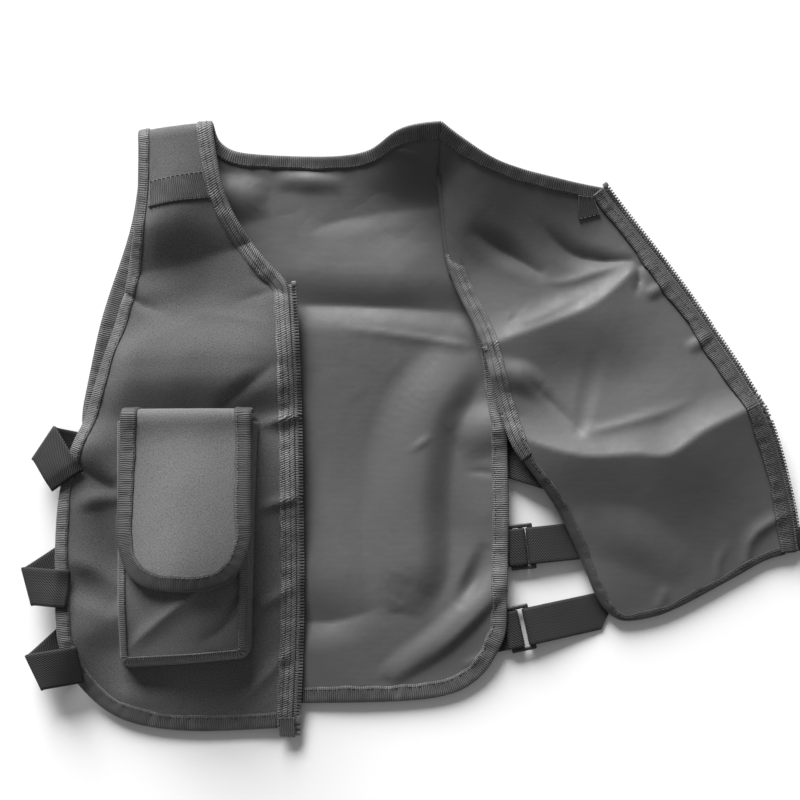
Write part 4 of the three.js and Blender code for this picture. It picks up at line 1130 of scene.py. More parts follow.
@dataclass(frozen=True)
class WovenFace(Finish):
    """Matt oxford weave."""

    DEPTH = 0.00022

    pitch: float = 0.00048

    def surface(self, graph: Graph, coords: Node) -> Layers:
        """Threads with uneven dye and rubbed places.

        Args:
            graph: The material's nodes.
            coords: Its coordinates.

        Returns:
            Colour, roughness, relief and depth.
        """
        weave = WeaveEffect().place(graph, Vector=coords.outputs["UV"], Pitch=self.pitch)
        age = AgeEffect().place(graph, Vector=coords.outputs["Object"])
        height, loose = weave.outputs["Height"], weave.outputs["Float"]
        threads = graph.math("MULTIPLY", height, graph.span(loose, -1.7, 3.3))
        share = graph.math("MULTIPLY", threads, graph.span(age.outputs["Mottle"], 0.5, 1.3))
        share = graph.math("ADD", share, graph.math("MULTIPLY", age.outputs["Lint"], 0.35))
        roughness = graph.span(age.outputs["Rub"], self.roughness, self.roughness - 0.12)
        crush = graph.noise(coords.outputs["Object"], 260.0, 3.0)
        relief = graph.math("MULTIPLY_ADD", crush, 1.2, graph.math("ADD", height, loose))
        return self.shade(graph, share), roughness, relief, self.DEPTH


@dataclass(frozen=True)
class CoatedFace(Finish):
    """Grey coating on the cloth's inner face."""

    DEPTH = 0.0003

    pitch: float = 0.0008

    def surface(self, graph: Graph, coords: Node) -> Layers:
        """A smooth skin over the weave with small crinkles.

        Args:
            graph: The material's nodes.
            coords: Its coordinates.

        Returns:
            Colour, roughness, relief and depth.
        """
        place = coords.outputs["Object"]
        age = AgeEffect().place(graph, Vector=place)
        weave = WeaveEffect().place(graph, Vector=coords.outputs["UV"], Pitch=self.pitch)
        lint = graph.math("MULTIPLY", age.outputs["Lint"], 0.15)
        share = graph.math("MULTIPLY_ADD", age.outputs["Mottle"], 0.8, lint)
        share = graph.math("MULTIPLY_ADD", weave.outputs["Height"], 0.12, share)
        roughness = graph.span(age.outputs["Rub"], self.roughness + 0.05, self.roughness - 0.08)
        crease = graph.math("ABSOLUTE", graph.span(graph.noise(place, 26.0, 1.0), -0.5, 0.5))
        upper = graph.math("MULTIPLY_ADD", graph.add("SeparateXYZ", Vector=place).outputs["Y"], 16.0, -1.4)
        upper.node.use_clamp = True
        fine = graph.noise(place, 70.0, 3.0)
        crinkle = graph.math("MULTIPLY_ADD", crease, graph.span(upper, 1.0, 6.0), fine)
        relief = graph.math("MULTIPLY_ADD", weave.outputs["Height"], 0.12, crinkle)
        return self.shade(graph, share), roughness, relief, self.DEPTH


@dataclass(frozen=True)
class RibbedTape(Finish):
    """Grosgrain binding tape."""

    DEPTH = 0.0003

    pitch: float = 0.0014
    # Spacing of darkened lanes along the tape, none if zero: painted shade of grooves.
    shaded_groove: float = 0.0

    def surface(self, graph: Graph, coords: Node) -> Layers:
        """Ribs, lighter on their crests and where they are rubbed.

        Args:
            graph: The material's nodes.
            coords: Its coordinates.

        Returns:
            Colour, roughness, relief and depth.
        """
        ribs = RibEffect().place(graph, Vector=coords.outputs["UV"], Pitch=self.pitch)
        age = AgeEffect().place(graph, Vector=coords.outputs["Object"])
        crest = graph.math("MULTIPLY", ribs.outputs["Height"], ribs.outputs["Thread"])
        share = graph.math("MULTIPLY", crest, graph.span(age.outputs["Rub"], 0.7, 1.25))
        # Narrow lanes along the tape, one per groove spacing, are darkened to a quarter: painted shade in
        # grooves that have no relief.
        if self.shaded_groove:
            across = graph.add("SeparateXYZ", Vector=coords.outputs["UV"]).outputs["Y"]
            beside = graph.math("PINGPONG", across, self.shaded_groove / 2)
            lane = graph.math("GREATER_THAN", beside, 0.11 * self.shaded_groove)
            share = graph.math("MULTIPLY", share, graph.span(lane, 0.25, 1.0))
        share = graph.math("ADD", share, graph.math("MULTIPLY", age.outputs["Lint"], 0.3))
        roughness = graph.span(ribs.outputs["Height"], self.roughness + 0.1, self.roughness - 0.05)
        return self.shade(graph, share), roughness, ribs.outputs["Height"], self.DEPTH


@dataclass(frozen=True)
class StrapWeave(Finish):
    """Twilled webbing."""

    DEPTH = 0.00025

    pitch: float = 0.0019

    def surface(self, graph: Graph, coords: Node) -> Layers:
        """Slanting ribs with a dull mottle.

        Args:
            graph: The material's nodes.
            coords: Its coordinates.

        Returns:
            Colour, roughness, relief and depth.
        """
        twill = TwillEffect().place(graph, Vector=coords.outputs["UV"], Pitch=self.pitch)
        age = AgeEffect().place(graph, Vector=coords.outputs["Object"])
        share = graph.math("MULTIPLY", twill.outputs["Height"], graph.span(age.outputs["Mottle"], 0.6, 1.3))
        share = graph.math("ADD", share, graph.math("MULTIPLY", age.outputs["Lint"], 0.3))
        roughness = graph.span(age.outputs["Rub"], self.roughness, self.roughness - 0.1)
        return self.shade(graph, share), roughness, twill.outputs["Height"], self.DEPTH


@dataclass(frozen=True)
class Moulded(Finish):
    """Moulded plastic, or smooth thread, with a fine grain."""

    DEPTH = 0.00006

    grain: float = 1400.0

    def surface(self, graph: Graph, coords: Node) -> Layers:
        """Fine grain, scuffed lighter in places.

        Args:
            graph: The material's nodes.
            coords: Its coordinates.

        Returns:
            Colour, roughness, relief and depth.
        """
        age = AgeEffect().place(graph, Vector=coords.outputs["Object"])
        grain = graph.noise(coords.outputs["Object"], self.grain, 2.0)
        share = graph.math("MULTIPLY_ADD", age.outputs["Rub"], 0.6, graph.math("MULTIPLY", grain, 0.4))
        roughness = graph.span(age.outputs["Rub"], self.roughness + 0.06, self.roughness - 0.06)
        return self.shade(graph, share), roughness, grain, self.DEPTH


@dataclass(frozen=True)
class TableTop(Finish):
    """Plain pale table under the vest."""

    DEPTH = 0.00001

    def surface(self, graph: Graph, coords: Node) -> Layers:
        """An even pale skin with the faintest mottle.

        Args:
            graph: The material's nodes.
            coords: Its coordinates.

        Returns:
            Colour, roughness, relief and depth.
        """
        mottle = graph.noise(coords.outputs["Object"], 3.0, 2.0)
        return self.shade(graph, mottle), self.roughness, mottle, self.DEPTH


WOVEN = WovenFace("woven_black", (0.015, 0.015, 0.0155), (0.155, 0.155, 0.158), 0.62, 0.25)
COATED = CoatedFace("coated_grey", (0.058, 0.058, 0.060), (0.100, 0.100, 0.102), 0.58, specular=0.48)
TAPE = RibbedTape("ribbed_tape", (0.016, 0.016, 0.0165), (0.24, 0.239, 0.237), 0.56, 0.22)
PLAIN_TAPE = RibbedTape("plain_tape", (0.011, 0.011, 0.0115), (0.27, 0.27, 0.271), 0.58, 0.2, pitch=0.0012)
# Lighter copy of the binding tape for the closed front's zip band and neck and the open front's arm edge:
# painted light.
LIT_TAPE = RibbedTape("tape_painted_light", (0.010, 0.010, 0.0105), (0.38, 0.379, 0.375), 0.54, 0.22,
                       pitch=0.0015, shaded_groove=0.0038)
# Darker copy of the binding tape for the open front's hem and zip band, the flap's edge and the zip's corner
# tab: painted shade.
SHADED_TAPE = RibbedTape("tape_painted_shade", (0.010, 0.010, 0.0105), (0.095, 0.095, 0.096), 0.6, 0.15, pitch=0.0012)
# Lighter copy of the woven cloth, used on the flap: painted light, as the flap is the same cloth as the
# fronts.
LIT_FLAP_WOVEN = WovenFace("woven_painted_light", (0.022, 0.022, 0.0225), (0.20, 0.20, 0.204), 0.58, 0.3)
WEB_RIBS = RibbedTape("ribbed_web", (0.012, 0.012, 0.0125), (0.19, 0.19, 0.191), 0.6, 0.15, pitch=0.00135)
TEETH = Moulded("zip_teeth", (0.030, 0.030, 0.030), (0.20, 0.20, 0.202), 0.32)
STRAP = StrapWeave("strap_weave", (0.003, 0.003, 0.0032), (0.046, 0.046, 0.047), 0.7, 0.03, 0.25)
THREAD = Moulded("sewing_thread", (0.030, 0.030, 0.031), (0.080, 0.080, 0.082), 0.6, 0.2, 0.5, 2600.0)
PLASTIC = Moulded("moulded_black", (0.010, 0.010, 0.010), (0.030, 0.030, 0.031), 0.38)
PIN_PLASTIC = Moulded("moulded_grey", (0.06, 0.06, 0.062), (0.14, 0.14, 0.142), 0.4)
PALE_STOP = Moulded("pale_stop", (0.10, 0.10, 0.10), (0.24, 0.24, 0.243), 0.4)
TABLE = TableTop("table_top", (0.86, 0.86, 0.86), (0.88, 0.88, 0.88), 0.6)


@dataclass
class Thread:
    """A stitch, modelled once and copied along every sewn line."""

    length: float = 2.5
    pitch: float = 3.2
    radius: float = 0.24
    model: Model | None = None

    def stitch(self) -> Model:
        """The stitch's own points and faces: a short rod with drawn-in ends."""
        if self.model is None:
            bench = Bench()
            bench.rod(self.radius, self.length * 0.6, 6)
            for end in (-1, 1):
                bench.pick(lambda middle, normal: normal.x * end > 0.9)
                bench.extrude((end * self.length * 0.2, 0, -self.radius * 0.8))
                bench.resize((1, 0.35, 0.35))
            self.model = bench.finish(0)
        return self.model

    def sew(self, shape: Shape, points: Array, normals: Array) -> None:
        """Copies the stitch along a line.

        Args:
            shape: Where the stitches go.
            points: The line, on the cloth's face.
            normals: The face's normals along it.
        """
        along = lengths(points)
        at = np.arange(self.pitch / 2, along[-1], self.pitch)
        if len(at) == 0:
            return
        place = sample(at, along, points)
        up = unit(sample(at, along, normals))
        run = unit(sample(at, along, np.gradient(points, axis=0)))
        aside = unit(np.cross(up, run))
        place_copies(shape, self.stitch(), place, run, aside, up)


THREADS = Thread()


@dataclass
class EdgeTape:
    """Ribbed tape folded over one run of a ply's edge, sewn along its inner edge."""

    FOLD_DEPTH = 1.5
    WIDTH_WAVE = 0.5
    WIDTH_PERIODS = (14, 60)
    PUCKER_PERIODS = (6, 17)
    SINK_DROP = 2.6
    STITCH_LIFT = 0.08
    TURN_ANGLES = (75, 45, 15, -15, -45, -75)

    name: str
    node: str
    ply: Ply
    run: str
    seed: int
    trim: Pair = (0.5, 0.5)
    widths: tuple[Point, ...] = ((0.0, TAPE_WIDTH),)
    thick: float = 0.75
    gap: float = 0.15
    slant: float = 0.0
    seams: tuple[float, ...] = (1.7,)
    pucker: float = 0.45
    sink: float = 0.0
    finish: Finish = TAPE

    def build(self, sewing: Shape) -> Piece:
        """Makes the tape and sews it.

        Args:
            sewing: The ply's stitches, which it adds to.

        Returns:
            The tape.
        """
        run = self.ply.run(self.run, TAPE_STEP, self.trim)
        wide = np.interp(run.along, *np.array(self.widths).T)
        wide = wide + self.WIDTH_WAVE * waver(run.along, self.seed, self.WIDTH_PERIODS)
        puckers = self.pucker * waver(run.along, self.seed + 1, self.PUCKER_PERIODS)
        fold = self.FOLD_DEPTH
        low = HALF_CLOTH + self.gap
        high = low + self.thick
        lip = low + 0.3 * self.thick
        columns, pattern = [], []

        def put(part: float, lift: float | Array) -> None:
            """Adds a column of points at a share of the tape's width and a lift off the cloth's middle."""
            depth = fold + part * (wide - fold)
            points, normals = self.ply.frames(run.at_depth(depth))
            if self.sink:
                lift = lift - self.SINK_DROP * np.clip(1 - (run.along - 0.8 * depth) / self.sink, 0, 1)
            columns.append(points + normals * np.reshape(lift, (-1, 1)))
            pattern.append(np.column_stack([run.along + self.slant * depth, depth]))

        for part, lift in ((1.0, lip), (0.965, high), (0.75, high), (0.45, high), (0.2, high)):
            put(part, lift + puckers * part * (1.2 - part) * 2)
        edge, up = self.ply.frames(run.at_depth(fold))
        inner = self.ply.lay(run.at_depth(2 * fold))
        out = edge - inner
        out = unit(out - up * (out * up).sum(1, keepdims=True))
        for angle in self.TURN_ANGLES:
            turn = math.radians(angle)
            columns.append(edge + out * high * math.cos(turn) + up * high * math.sin(turn))
            across = np.full(len(edge), fold - high * math.radians(90 - angle) * 0.5)
            pattern.append(np.column_stack([run.along, across]))
        under = ((0.25, -high), (0.965, -high), (1.0, -lip), (0.965, -low), (0.15, -low))
        for part, lift in (*under, (0.15, low), (0.965, low)):
            put(part, lift)
        rings = np.stack(columns, axis=1)
        shape = Shape()
        faces = [face[::-1] for face in ring_loft(rings)]
        shape.add(rings.reshape(-1, 3), faces, np.stack(pattern, axis=1).reshape(-1, 2))
        for seam in self.seams:
            points, normals = self.ply.frames(run.at_depth(wide - seam))
            THREADS.sew(sewing, points + normals * (high + self.STITCH_LIFT), normals)
        return make_piece(self.name, shape, [self.finish], self.node.split("+"))


def strip_shape(rails: Array, thick: float, normals: Array | None = None) -> Shape:
    """A flat woven strip with rounded long edges.

    Args:
        rails: Lines along the strip as an array of rail, point and coordinate.
        thick: Its thickness.
        normals: Face normals at each point, found from the rails if not given.

    Returns:
        The strip.
    """
    count = len(rails)
    if normals is None:
        along = unit(np.gradient(rails, axis=1))
        across = unit(np.gradient(rails, axis=0))
        normals = unit(np.cross(across, along))
    profile = np.full(count, thick / 2)
    profile[[0, -1]] *= STRIP_EDGE
    lift = normals * profile[:, None, None]
    rings = np.concatenate([rails + lift, (rails - lift)[::-1]]).transpose(1, 0, 2)
    middle = lengths(rails[count // 2])
    width = np.concatenate([[0.0], np.cumsum(np.linalg.norm(np.diff(rails, axis=0), axis=2).mean(1))])
    both = np.concatenate([width, width[::-1]])
    pattern = np.stack(np.broadcast_arrays(middle[:, None], both[None, :]), axis=-1)
    shape = Shape()
    shape.add(rings.reshape(-1, 3), ring_loft(rings), pattern.reshape(-1, 2))
    return shape


def chaikin(points: Array, rounds: int) -> Array:
    """Rounds a line's corners, its ends kept.

    Args:
        points: The line, as points along the next to last axis.
        rounds: How many times each corner is cut.

    Returns:
        The rounded line.
    """
    for _ in range(rounds):
        first, second = points[..., :-1, :], points[..., 1:, :]
        quarter = np.stack([0.75 * first + 0.25 * second, 0.25 * first + 0.75 * second], axis=-2)
        cut = quarter.reshape(*points.shape[:-2], -1, points.shape[-1])
        points = np.concatenate([points[..., :1, :], cut[..., 1:-1, :], points[..., -1:, :]], axis=-2)
    return points


@dataclass
class Panel:
    """One cloth panel with its edge tapes and stitches."""

    name: str
    node: str
    ply: Ply
    facing: Side
    slot: Slot
    tapes: list[EdgeTape]
    held: str
    rests_on: list[str]
    extra: Sequence[Piece] = ()

    def build(self) -> None:
        insets = {name: SEAM_INSET for name in self.ply.runs if name.endswith("seam")}
        ring = self.ply.ring(RING_STEP, insets)
        plan, faces = fill(ring, SHEET_STEP)
        up, down = (0, 1) if self.facing is Side.WOVEN_UP else (1, 0)
        shape = sheet_shape(self.ply, plan, faces, len(ring), up, down)
        cloth = make_piece(self.name, shape, [WOVEN, COATED], [self.node])
        sewing = Shape()
        with_pieces = [*self.extra, *(tape.build(sewing) for tape in self.tapes)]
        with_pieces.append(make_piece(self.name + "_stitches", sewing, [THREAD]))


@dataclass
class ZipHalf:
    """One half of the separated zip: its tape, teeth and end pieces."""

    TAPE_THICK = 0.9
    TOOTH_LENGTH = 1.35
    STOP_SIZE = (3.6, 3.8, 2.2)
    STOP_OUT = 1.6
    STOP_AHEAD = 3.4
    PIN_LENGTH = 13.6
    PIN_MIDDLE = 1.8
    PIN_GROOVES = ((-2.6, -0.8), (1.0, 2.8))
    SLIDER_LENGTH = 13.5
    SLIDER_MIDDLE = 7.75
    SLIDER_WIDER = 3.5
    SLIDER_THICK = 5.0
    PULL_SIZE = (17.0, 5.6)
    PULL_MIDDLE = 9.0
    PULL_CUTS = (14.5, 2.6)
    PULL_LIFT = 2.9
    PULL_THICK = 1.1
    HARD_EDGE = 40

    side: str
    ply: Ply
    foot: float
    tape_from: float = 0.6
    teeth_from: float = 3.0
    tooth_reach: float = 6.4
    pitch: float = 2.1
    thick: float = 2.4

    def edge(self, step: float, trim: Pair = (0.0, 0.0)) -> tuple[Array, Array, Array, Array]:
        """The cloth edge along the zip.

        Args:
            step: Distance between points.
            trim: Length left off its start and end.

        Returns:
            Points, outward, upward and lengthwise directions.
        """
        run = self.ply.run("zip", step, trim)
        points, up = self.ply.frames(run.at_depth(CLOTH_INSET))
        ahead = unit(np.gradient(points, axis=0))
        out = unit(np.cross(ahead, up))
        return points, out, unit(np.cross(out, ahead)), ahead

    def tooth(self) -> Model:
        """One moulded tooth: a foot that grips the tape, a neck and a head.

        Returns:
            Its points and faces, X along the zip and Y outwards.
        """
        bench = Bench()
        reach = self.tooth_reach - self.teeth_from
        bench.block((self.TOOTH_LENGTH, reach * 0.4, self.thick), (0, reach * 0.2, 0))
        bench.pick(lambda middle, normal: normal.y > 0.9)
        bench.resize((0.7, 1, 0.85))
        bench.extrude((0, reach * 0.3, 0))
        bench.extrude((0, reach * 0.18, 0))
        bench.resize((1.45, 1, 1))
        bench.extrude((0, reach * 0.12, 0))
        bench.resize((0.6, 1, 0.7))
        return bench.finish(0)

    def build_tape(self) -> None:
        """The narrow tape that carries the teeth."""
        points, out, _, _ = self.edge(1.5, (1.0, 1.0))
        reaches = np.linspace(self.tape_from, self.tooth_reach - 1.2, 4)
        rails = np.stack([points + out * reach for reach in reaches])
        shape = strip_shape(rails, self.TAPE_THICK)
        make_piece(f"zip_edge_tape_{self.side}", shape, [TAPE], [f"zip_tape_{self.side}"])

    def build_teeth(self) -> None:
        """The row of teeth with a pale stop at its top."""
        points, out, up, ahead = self.edge(self.pitch, (self.foot + self.pitch / 2, 4.0))
        shape = Shape()
        place_copies(shape, self.tooth(), points + out * self.teeth_from, ahead, out, up)
        stop = Bench()
        stop.block(self.STOP_SIZE, (0, self.STOP_OUT, 0))
        stop.cut((0, self.STOP_OUT, 0), (1, 0, 0))
        stop.pick(lambda middle, normal: abs(normal.x) > 0.9)
        stop.resize((1, 0.8, 0.8))
        model = stop.finish(0.4)
        last = slice(-1, None)
        above = points[last] + ahead[last] * self.STOP_AHEAD + out[last] * self.teeth_from
        place_copies(shape, model, above, ahead[last], out[last], up[last], 1)
        make_piece(f"zip_row_{self.side}", shape, [TEETH, PALE_STOP],
                   [f"zip_teeth_{self.side}"], self.HARD_EDGE)

    def foot_frame(self) -> tuple[Array, Array, Array, Array]:
        """Place and directions at the zip's foot."""
        points, out, up, ahead = self.edge(self.foot)
        return points[:1], out[:1], up[:1], ahead[:1]

    def build_pin(self) -> None:
        """The pin and its gripping block at the foot of the closed front's half."""
        place, out, up, ahead = self.foot_frame()
        bench = Bench()
        middle = (self.teeth_from + self.tooth_reach) / 2
        size = (self.PIN_LENGTH, self.tooth_reach - self.teeth_from, self.thick)
        bench.block(size, (self.PIN_MIDDLE, middle, 0))
        (a, b), (c, d) = self.PIN_GROOVES
        for at in (a, b, c, d):
            bench.cut((at, 0, 0), (1, 0, 0))
        bench.pick(lambda centre, normal: normal.z > 0.9 and (a < centre.x < b or c < centre.x < d))
        bench.extrude((0, 0, -0.5))
        bench.pick(lambda centre, normal: normal.x > 0.9 and centre.x > 8)
        bench.resize((1, 0.6, 0.7))
        shape = Shape()
        place_copies(shape, bench.finish(0.35), place, ahead, out, up)
        make_piece("zip_foot_pin", shape, [PIN_PLASTIC], ["zip_pin"], self.HARD_EDGE)

    def build_slider(self) -> None:
        """The slider with its pull at the foot of the open front's half."""
        place, out, up, ahead = self.foot_frame()
        bench = Bench()
        low, high = self.teeth_from, self.tooth_reach + self.SLIDER_WIDER
        middle = (low + high) / 2
        bench.block((self.SLIDER_LENGTH, high - low, self.SLIDER_THICK), (self.SLIDER_MIDDLE, middle, 0))
        bench.cut((7.0, 0, 0), (1, 0, 0))
        bench.pick(lambda centre, normal: normal.x < -0.9)
        bench.resize((1, 0.62, 0.9))
        bench.pick(lambda centre, normal: normal.z > 0.9)
        bench.extrude((0, 0, 0.01))
        bench.resize((0.8, 0.8, 1))
        shape = Shape()
        place_copies(shape, bench.finish(0.6), place, ahead, out, up)
        pull = Bench()
        pull.plate(self.PULL_SIZE, (self.PULL_MIDDLE, middle, self.PULL_LIFT))
        for at in self.PULL_CUTS:
            pull.cut((at, 0, 0), (1, 0, 0))
        pull.pick(lambda centre, normal: centre.x > self.PULL_CUTS[0])
        pull.resize((1, 0.75, 1))
        pull.pick(lambda centre, normal: True)
        pull.extrude((0, 0, self.PULL_THICK))
        place_copies(shape, pull.finish(0.4), place, ahead, out, up)
        make_piece("zip_runner", shape, [PLASTIC], ["zip_slider"], self.HARD_EDGE)


@dataclass
class Patch:
    """A flat piece sewn on a ply's upper face between four plan corners."""

    name: str
    node: str
    ply: Ply
    corners: tuple[Point, Point, Point, Point]
    lift: float
    thick: float
    finish: Finish
    slot: Slot
    stitched: tuple[float, ...] = (0.06, 0.94)

    def build(self, sewing: Shape) -> None:
        """Makes the patch and sews its edges.

        Args:
            sewing: Stitches, which it adds to.
        """
        a, b, c, d = (np.array(corner, float) for corner in self.corners)
        s = np.linspace(0, 1, 30)[None, :, None]
        t = np.concatenate([[0, 0.03], np.linspace(0.1, 0.9, 9), [0.97, 1]])[:, None, None]
        plan = (a + (b - a) * s) * (1 - t) + (d + (c - d) * s) * t
        points, normals = self.ply.frames(plan.reshape(-1, 2))
        points = (points + normals * (self.lift + self.thick / 2)).reshape(plan.shape[:2] + (3,))
        shape = strip_shape(points[::-1], self.thick)
        for share in self.stitched:
            row = int(round(share * (len(t) - 1)))
            up = normals.reshape(points.shape)[row]
            THREADS.sew(sewing, points[row] + up * (self.thick / 2 + STITCH_LIFT), up)
        make_piece(self.name, shape, [self.finish], [self.node] if self.node else [])


@dataclass
class Pouch(Surface):
    """Box-shaped pouch on the closed front: a slanted front face and walls in one sheet."""

    DELTA = 0.15
    STEP = 1.6
    WALL_STEP = 1.8
    WALL_INSETS = (0.8, 1.5, 2.3, 3.2, 4.2, 5.3, 6.6)
    WALL_END = 7.8
    FRONT_STEP = 2.2
    STRIP_INSET = 5.6
    STRIP_RAILS = (-2.5, -2.1, -0.8, 0.8, 2.1, 2.5)
    STRIP_LIFT = 1.15
    STRIP_THICK = 0.9
    SEAM_IN = 1.8
    SEAM_LIFT = 1.7
    SEWN_SHARE = 0.9
    FOOT_INSET = 0.3
    MOUTH_PAST = 200.0
    ROUNDNESS = 2.4

    ground: HeightField
    left: float = -198.0
    right: float = -103.0
    top: float = 2.0
    bottom: float = -163.0
    corner: float = 9.0
    depth: float = 20.0
    slant: float = 6.5
    crown: float = 2.0
    lift: float = 0.8
    taper: float = 0.07
    tilt: float = 0.08
    profile: tuple[Point, ...] = (
        (10, 16), (-12, 15), (-40, 16.4), (-75, 20), (-100, 19.5), (-135, 15), (-170, 10),
    )
    folds: tuple[Fold, ...] = (
        Crease(((-192, -152, 10, 0), (-172, -136, 13, 3), (-150, -120, 12, 3.5), (-136, -108, 9, 1)), 0.8),
        Crease(((-140, -150, 9, 0), (-122, -138, 10, -2.5), (-112, -118, 8, -2))),
        Fold(((-180, -118, 8, 0), (-160, -112, 8, -1.5), (-146, -104, 7, 0))),
    )

    def inset(self, plan: Array) -> Array:
        """Distance inside the pouch's foot line; its top is open.

        Args:
            plan: Plan points.

        Returns:
            The distances.
        """
        high = self.top + self.MOUTH_PAST
        middle = np.array([(self.left + self.right) / 2, (self.bottom + high) / 2])
        half = np.array([(self.right - self.left) / 2, (high - self.bottom) / 2]) - self.corner
        q = np.abs(plan - middle) - half
        outside = np.linalg.norm(np.maximum(q, 0), axis=1) + np.minimum(q.max(1), 0)
        return self.corner - outside

    def lay(self, plan: Array) -> Array:
        """Places plan points on the pouch's front and walls.

        Args:
            plan: Plan points.

        Returns:
            Points in space.
        """
        x, y = plan.T
        share = np.clip(self.inset(plan) / self.slant, 0, 1)
        run = spline(self.profile)[::-1]
        rise = np.interp(y, run[:, 0], run[:, 1]) * (1 - (1 - share) ** self.ROUNDNESS)
        half, middle = (self.right - self.left) / 2, (self.left + self.right) / 2
        bulge = self.crown * (1 - ((x - middle) / half) ** 2) * share
        bulge = bulge + sum(fold.lift(x, y) for fold in self.folds) * share
        down = np.clip((self.top - y) / (self.top - self.bottom), 0, 1)
        x, y = middle + (x - middle) * (1 - self.taper * down), y + self.tilt * (x - self.left) * down**2
        z = self.ground(x, y) + HALF_CLOTH + self.lift + rise + bulge
        return np.column_stack([x, y, z])

    def foot_line(self, inset: float, step: float) -> Array:
        """The U-shaped line at a distance inside the foot, from top left round to top right.

        Args:
            inset: The distance.
            step: Distance between points.

        Returns:
            The plan points.
        """
        radius = max(self.corner - inset, 1.0)
        low = self.bottom + inset + radius
        left, right = self.left + inset + radius, self.right - inset - radius
        turn = np.linspace(0, math.pi / 2, 9)
        first = np.column_stack([left - radius * np.cos(turn), low - radius * np.sin(turn)])
        second = np.column_stack([right + radius * np.sin(turn), low - radius * np.cos(turn)])
        line = [[left - radius, self.top], *first, *second, [right + radius, self.top]]
        return resample(np.array(line), step)

    def build(self) -> None:
        outer = self.foot_line(self.FOOT_INSET, self.STEP)
        mouth = resample(np.array([outer[-1], outer[0]]), self.STEP)[1:-1]
        ring = np.vstack([outer, mouth])
        walls = np.vstack([self.foot_line(at, self.WALL_STEP)[1:-1] for at in self.WALL_INSETS])
        plan, faces = fill(ring, self.FRONT_STEP, walls, lambda grid: self.inset(grid) > self.WALL_END)
        shape = sheet_shape(self, plan, faces, len(ring), 0, 1)
        cloth = make_piece("pouch_cloth", shape, [WOVEN, COATED], ["pouch_body"])
        sewing = Shape()
        strips = [self.build_strip(sewing)]
        strips.append(make_piece("pouch_stitches", sewing, [THREAD]))

    def build_strip(self, sewing: Shape) -> Piece:
        """The ribbed strip over the seam between front and walls.

        Args:
            sewing: Stitches, which it adds to.

        Returns:
            The strip.
        """
        line = self.foot_line(self.STRIP_INSET, 1.5)
        inward = left_of(unit(np.gradient(line, axis=0)))
        rails, normals = [], []
        for at in self.STRIP_RAILS:
            points, up = self.frames(line + inward * at)
            rails.append(points + up * self.STRIP_LIFT)
            normals.append(up)
        shape = strip_shape(np.stack(rails), self.STRIP_THICK, np.stack(normals) * -1)
        points, up = self.frames(line + inward * self.SEAM_IN)
        THREADS.sew(sewing, points + up * self.SEAM_LIFT, up)
        return make_piece("pouch_edge_strip", shape, [TAPE])


# Side view of the flap, and how its free corner is rounded, as shares of its half width and length
FLAP_RUN = [
    (10, 1.7), (9.9, 7), (9.6, 14.6), (8, 20.6), (3, 23),
    (-14, 20.4), (-40, 20.8), (-75, 24.8), (-98, 25.4), (-110, 23.8),
]
FLAP_CORNER = [(1.035, 0.55), (1.04, 0.78), (0.8, 0.945), (0.35, 1.0)]


class Flap(Ply):
    """The pouch's flap: sewn above the mouth, over its edge and down its front."""

    MIDDLE = -149.0
    HALF_TOP = 43.0
    ARCH = 2.0
    RISER = 36.0
    LIFT = 0.8

    def __init__(self, ground: HeightField) -> None:
        """Lays out the flap's pattern.

        Args:
            ground: Height of the front it is sewn to.
        """
        self.curve = spline(FLAP_RUN)
        self.along = lengths(self.curve)
        length = self.along[-1]
        corner = [(wide * self.HALF_TOP, -long * length) for wide, long in FLAP_CORNER]
        half = [(self.HALF_TOP, 0.0), (1.02 * self.HALF_TOP, -self.RISER), *corner]
        left = [(self.MIDDLE - x, y) for x, y in half]
        right = [(self.MIDDLE + x, y) for x, y in half]
        runs = {"rim": [left + right[::-1]], "sewn": [[right[0], left[0]]]}
        super().__init__(runs, ground)

    def lay(self, plan: Array) -> Array:
        """Places pattern points on the lying flap.

        Args:
            plan: Pattern points, the second coordinate running down from the sewn edge.

        Returns:
            Points in space.
        """
        x, run = plan.T
        y = np.interp(-run, self.along, self.curve[:, 0])
        rise = np.interp(-run, self.along, self.curve[:, 1])
        y = y - np.maximum(-run - self.along[-1], 0) + np.minimum(-run, 0) * -0.2
        arch = self.ARCH * (1 - ((x - self.MIDDLE) / self.HALF_TOP) ** 2) * rise / FLAP_RUN[-1][1]
        z = self.height(x, np.minimum(y, 0)) + HALF_CLOTH + self.LIFT + rise + arch
        return np.column_stack([x, y, z])


# Webbing and adjusters
STRAP_TUCK = 9.0
BEND = 1.3
LAYER = WEBBING / 2 + 0.3
ON_BINDING = HALF_CLOTH + 1.5 + WEBBING / 2
TUCK_MARGIN = 0.4
STRAP_FLAT = 3.0
CREASE_RADIUS = 2.4
CUT_EASE = 6.0
SEWN_AT = (0, 5, 10)
LEAST_HEIGHT = 0.9


@dataclass(frozen=True)
class AdjusterSizes:
    """Sizes of the strap adjuster."""

    length: float = 17.0
    width: float = 31.0
    thick: float = 3.0
    bar: float = 3.0
    mid_bar: float = 2.0
    rail: float = 2.6
    underside: float = 2.7
    start: float = 1.0
    gap: float = 0.8
    hard_edge: float = 35.0


GLIDE = AdjusterSizes()
TOP_RUN = GLIDE.underside + GLIDE.thick + LAYER
LOW_RUN = GLIDE.underside - LAYER
GLIDE_END = GLIDE.start + GLIDE.length


def turn_round(s: float, sense: int) -> list[Point]:
    """Webbing round a bar, seen from the side.

    Args:
        s: How far along the strap it turns.
        sense: 1 if it comes from further along, -1 from nearer.

    Returns:
        Distance and height of its points.
    """
    cut = 0.35 * BEND
    return [
        (s + sense * BEND, TOP_RUN), (s + sense * cut, TOP_RUN - cut), (s, TOP_RUN - BEND),
        (s, LOW_RUN + BEND), (s + sense * cut, LOW_RUN + cut), (s + sense * BEND, LOW_RUN),
    ]


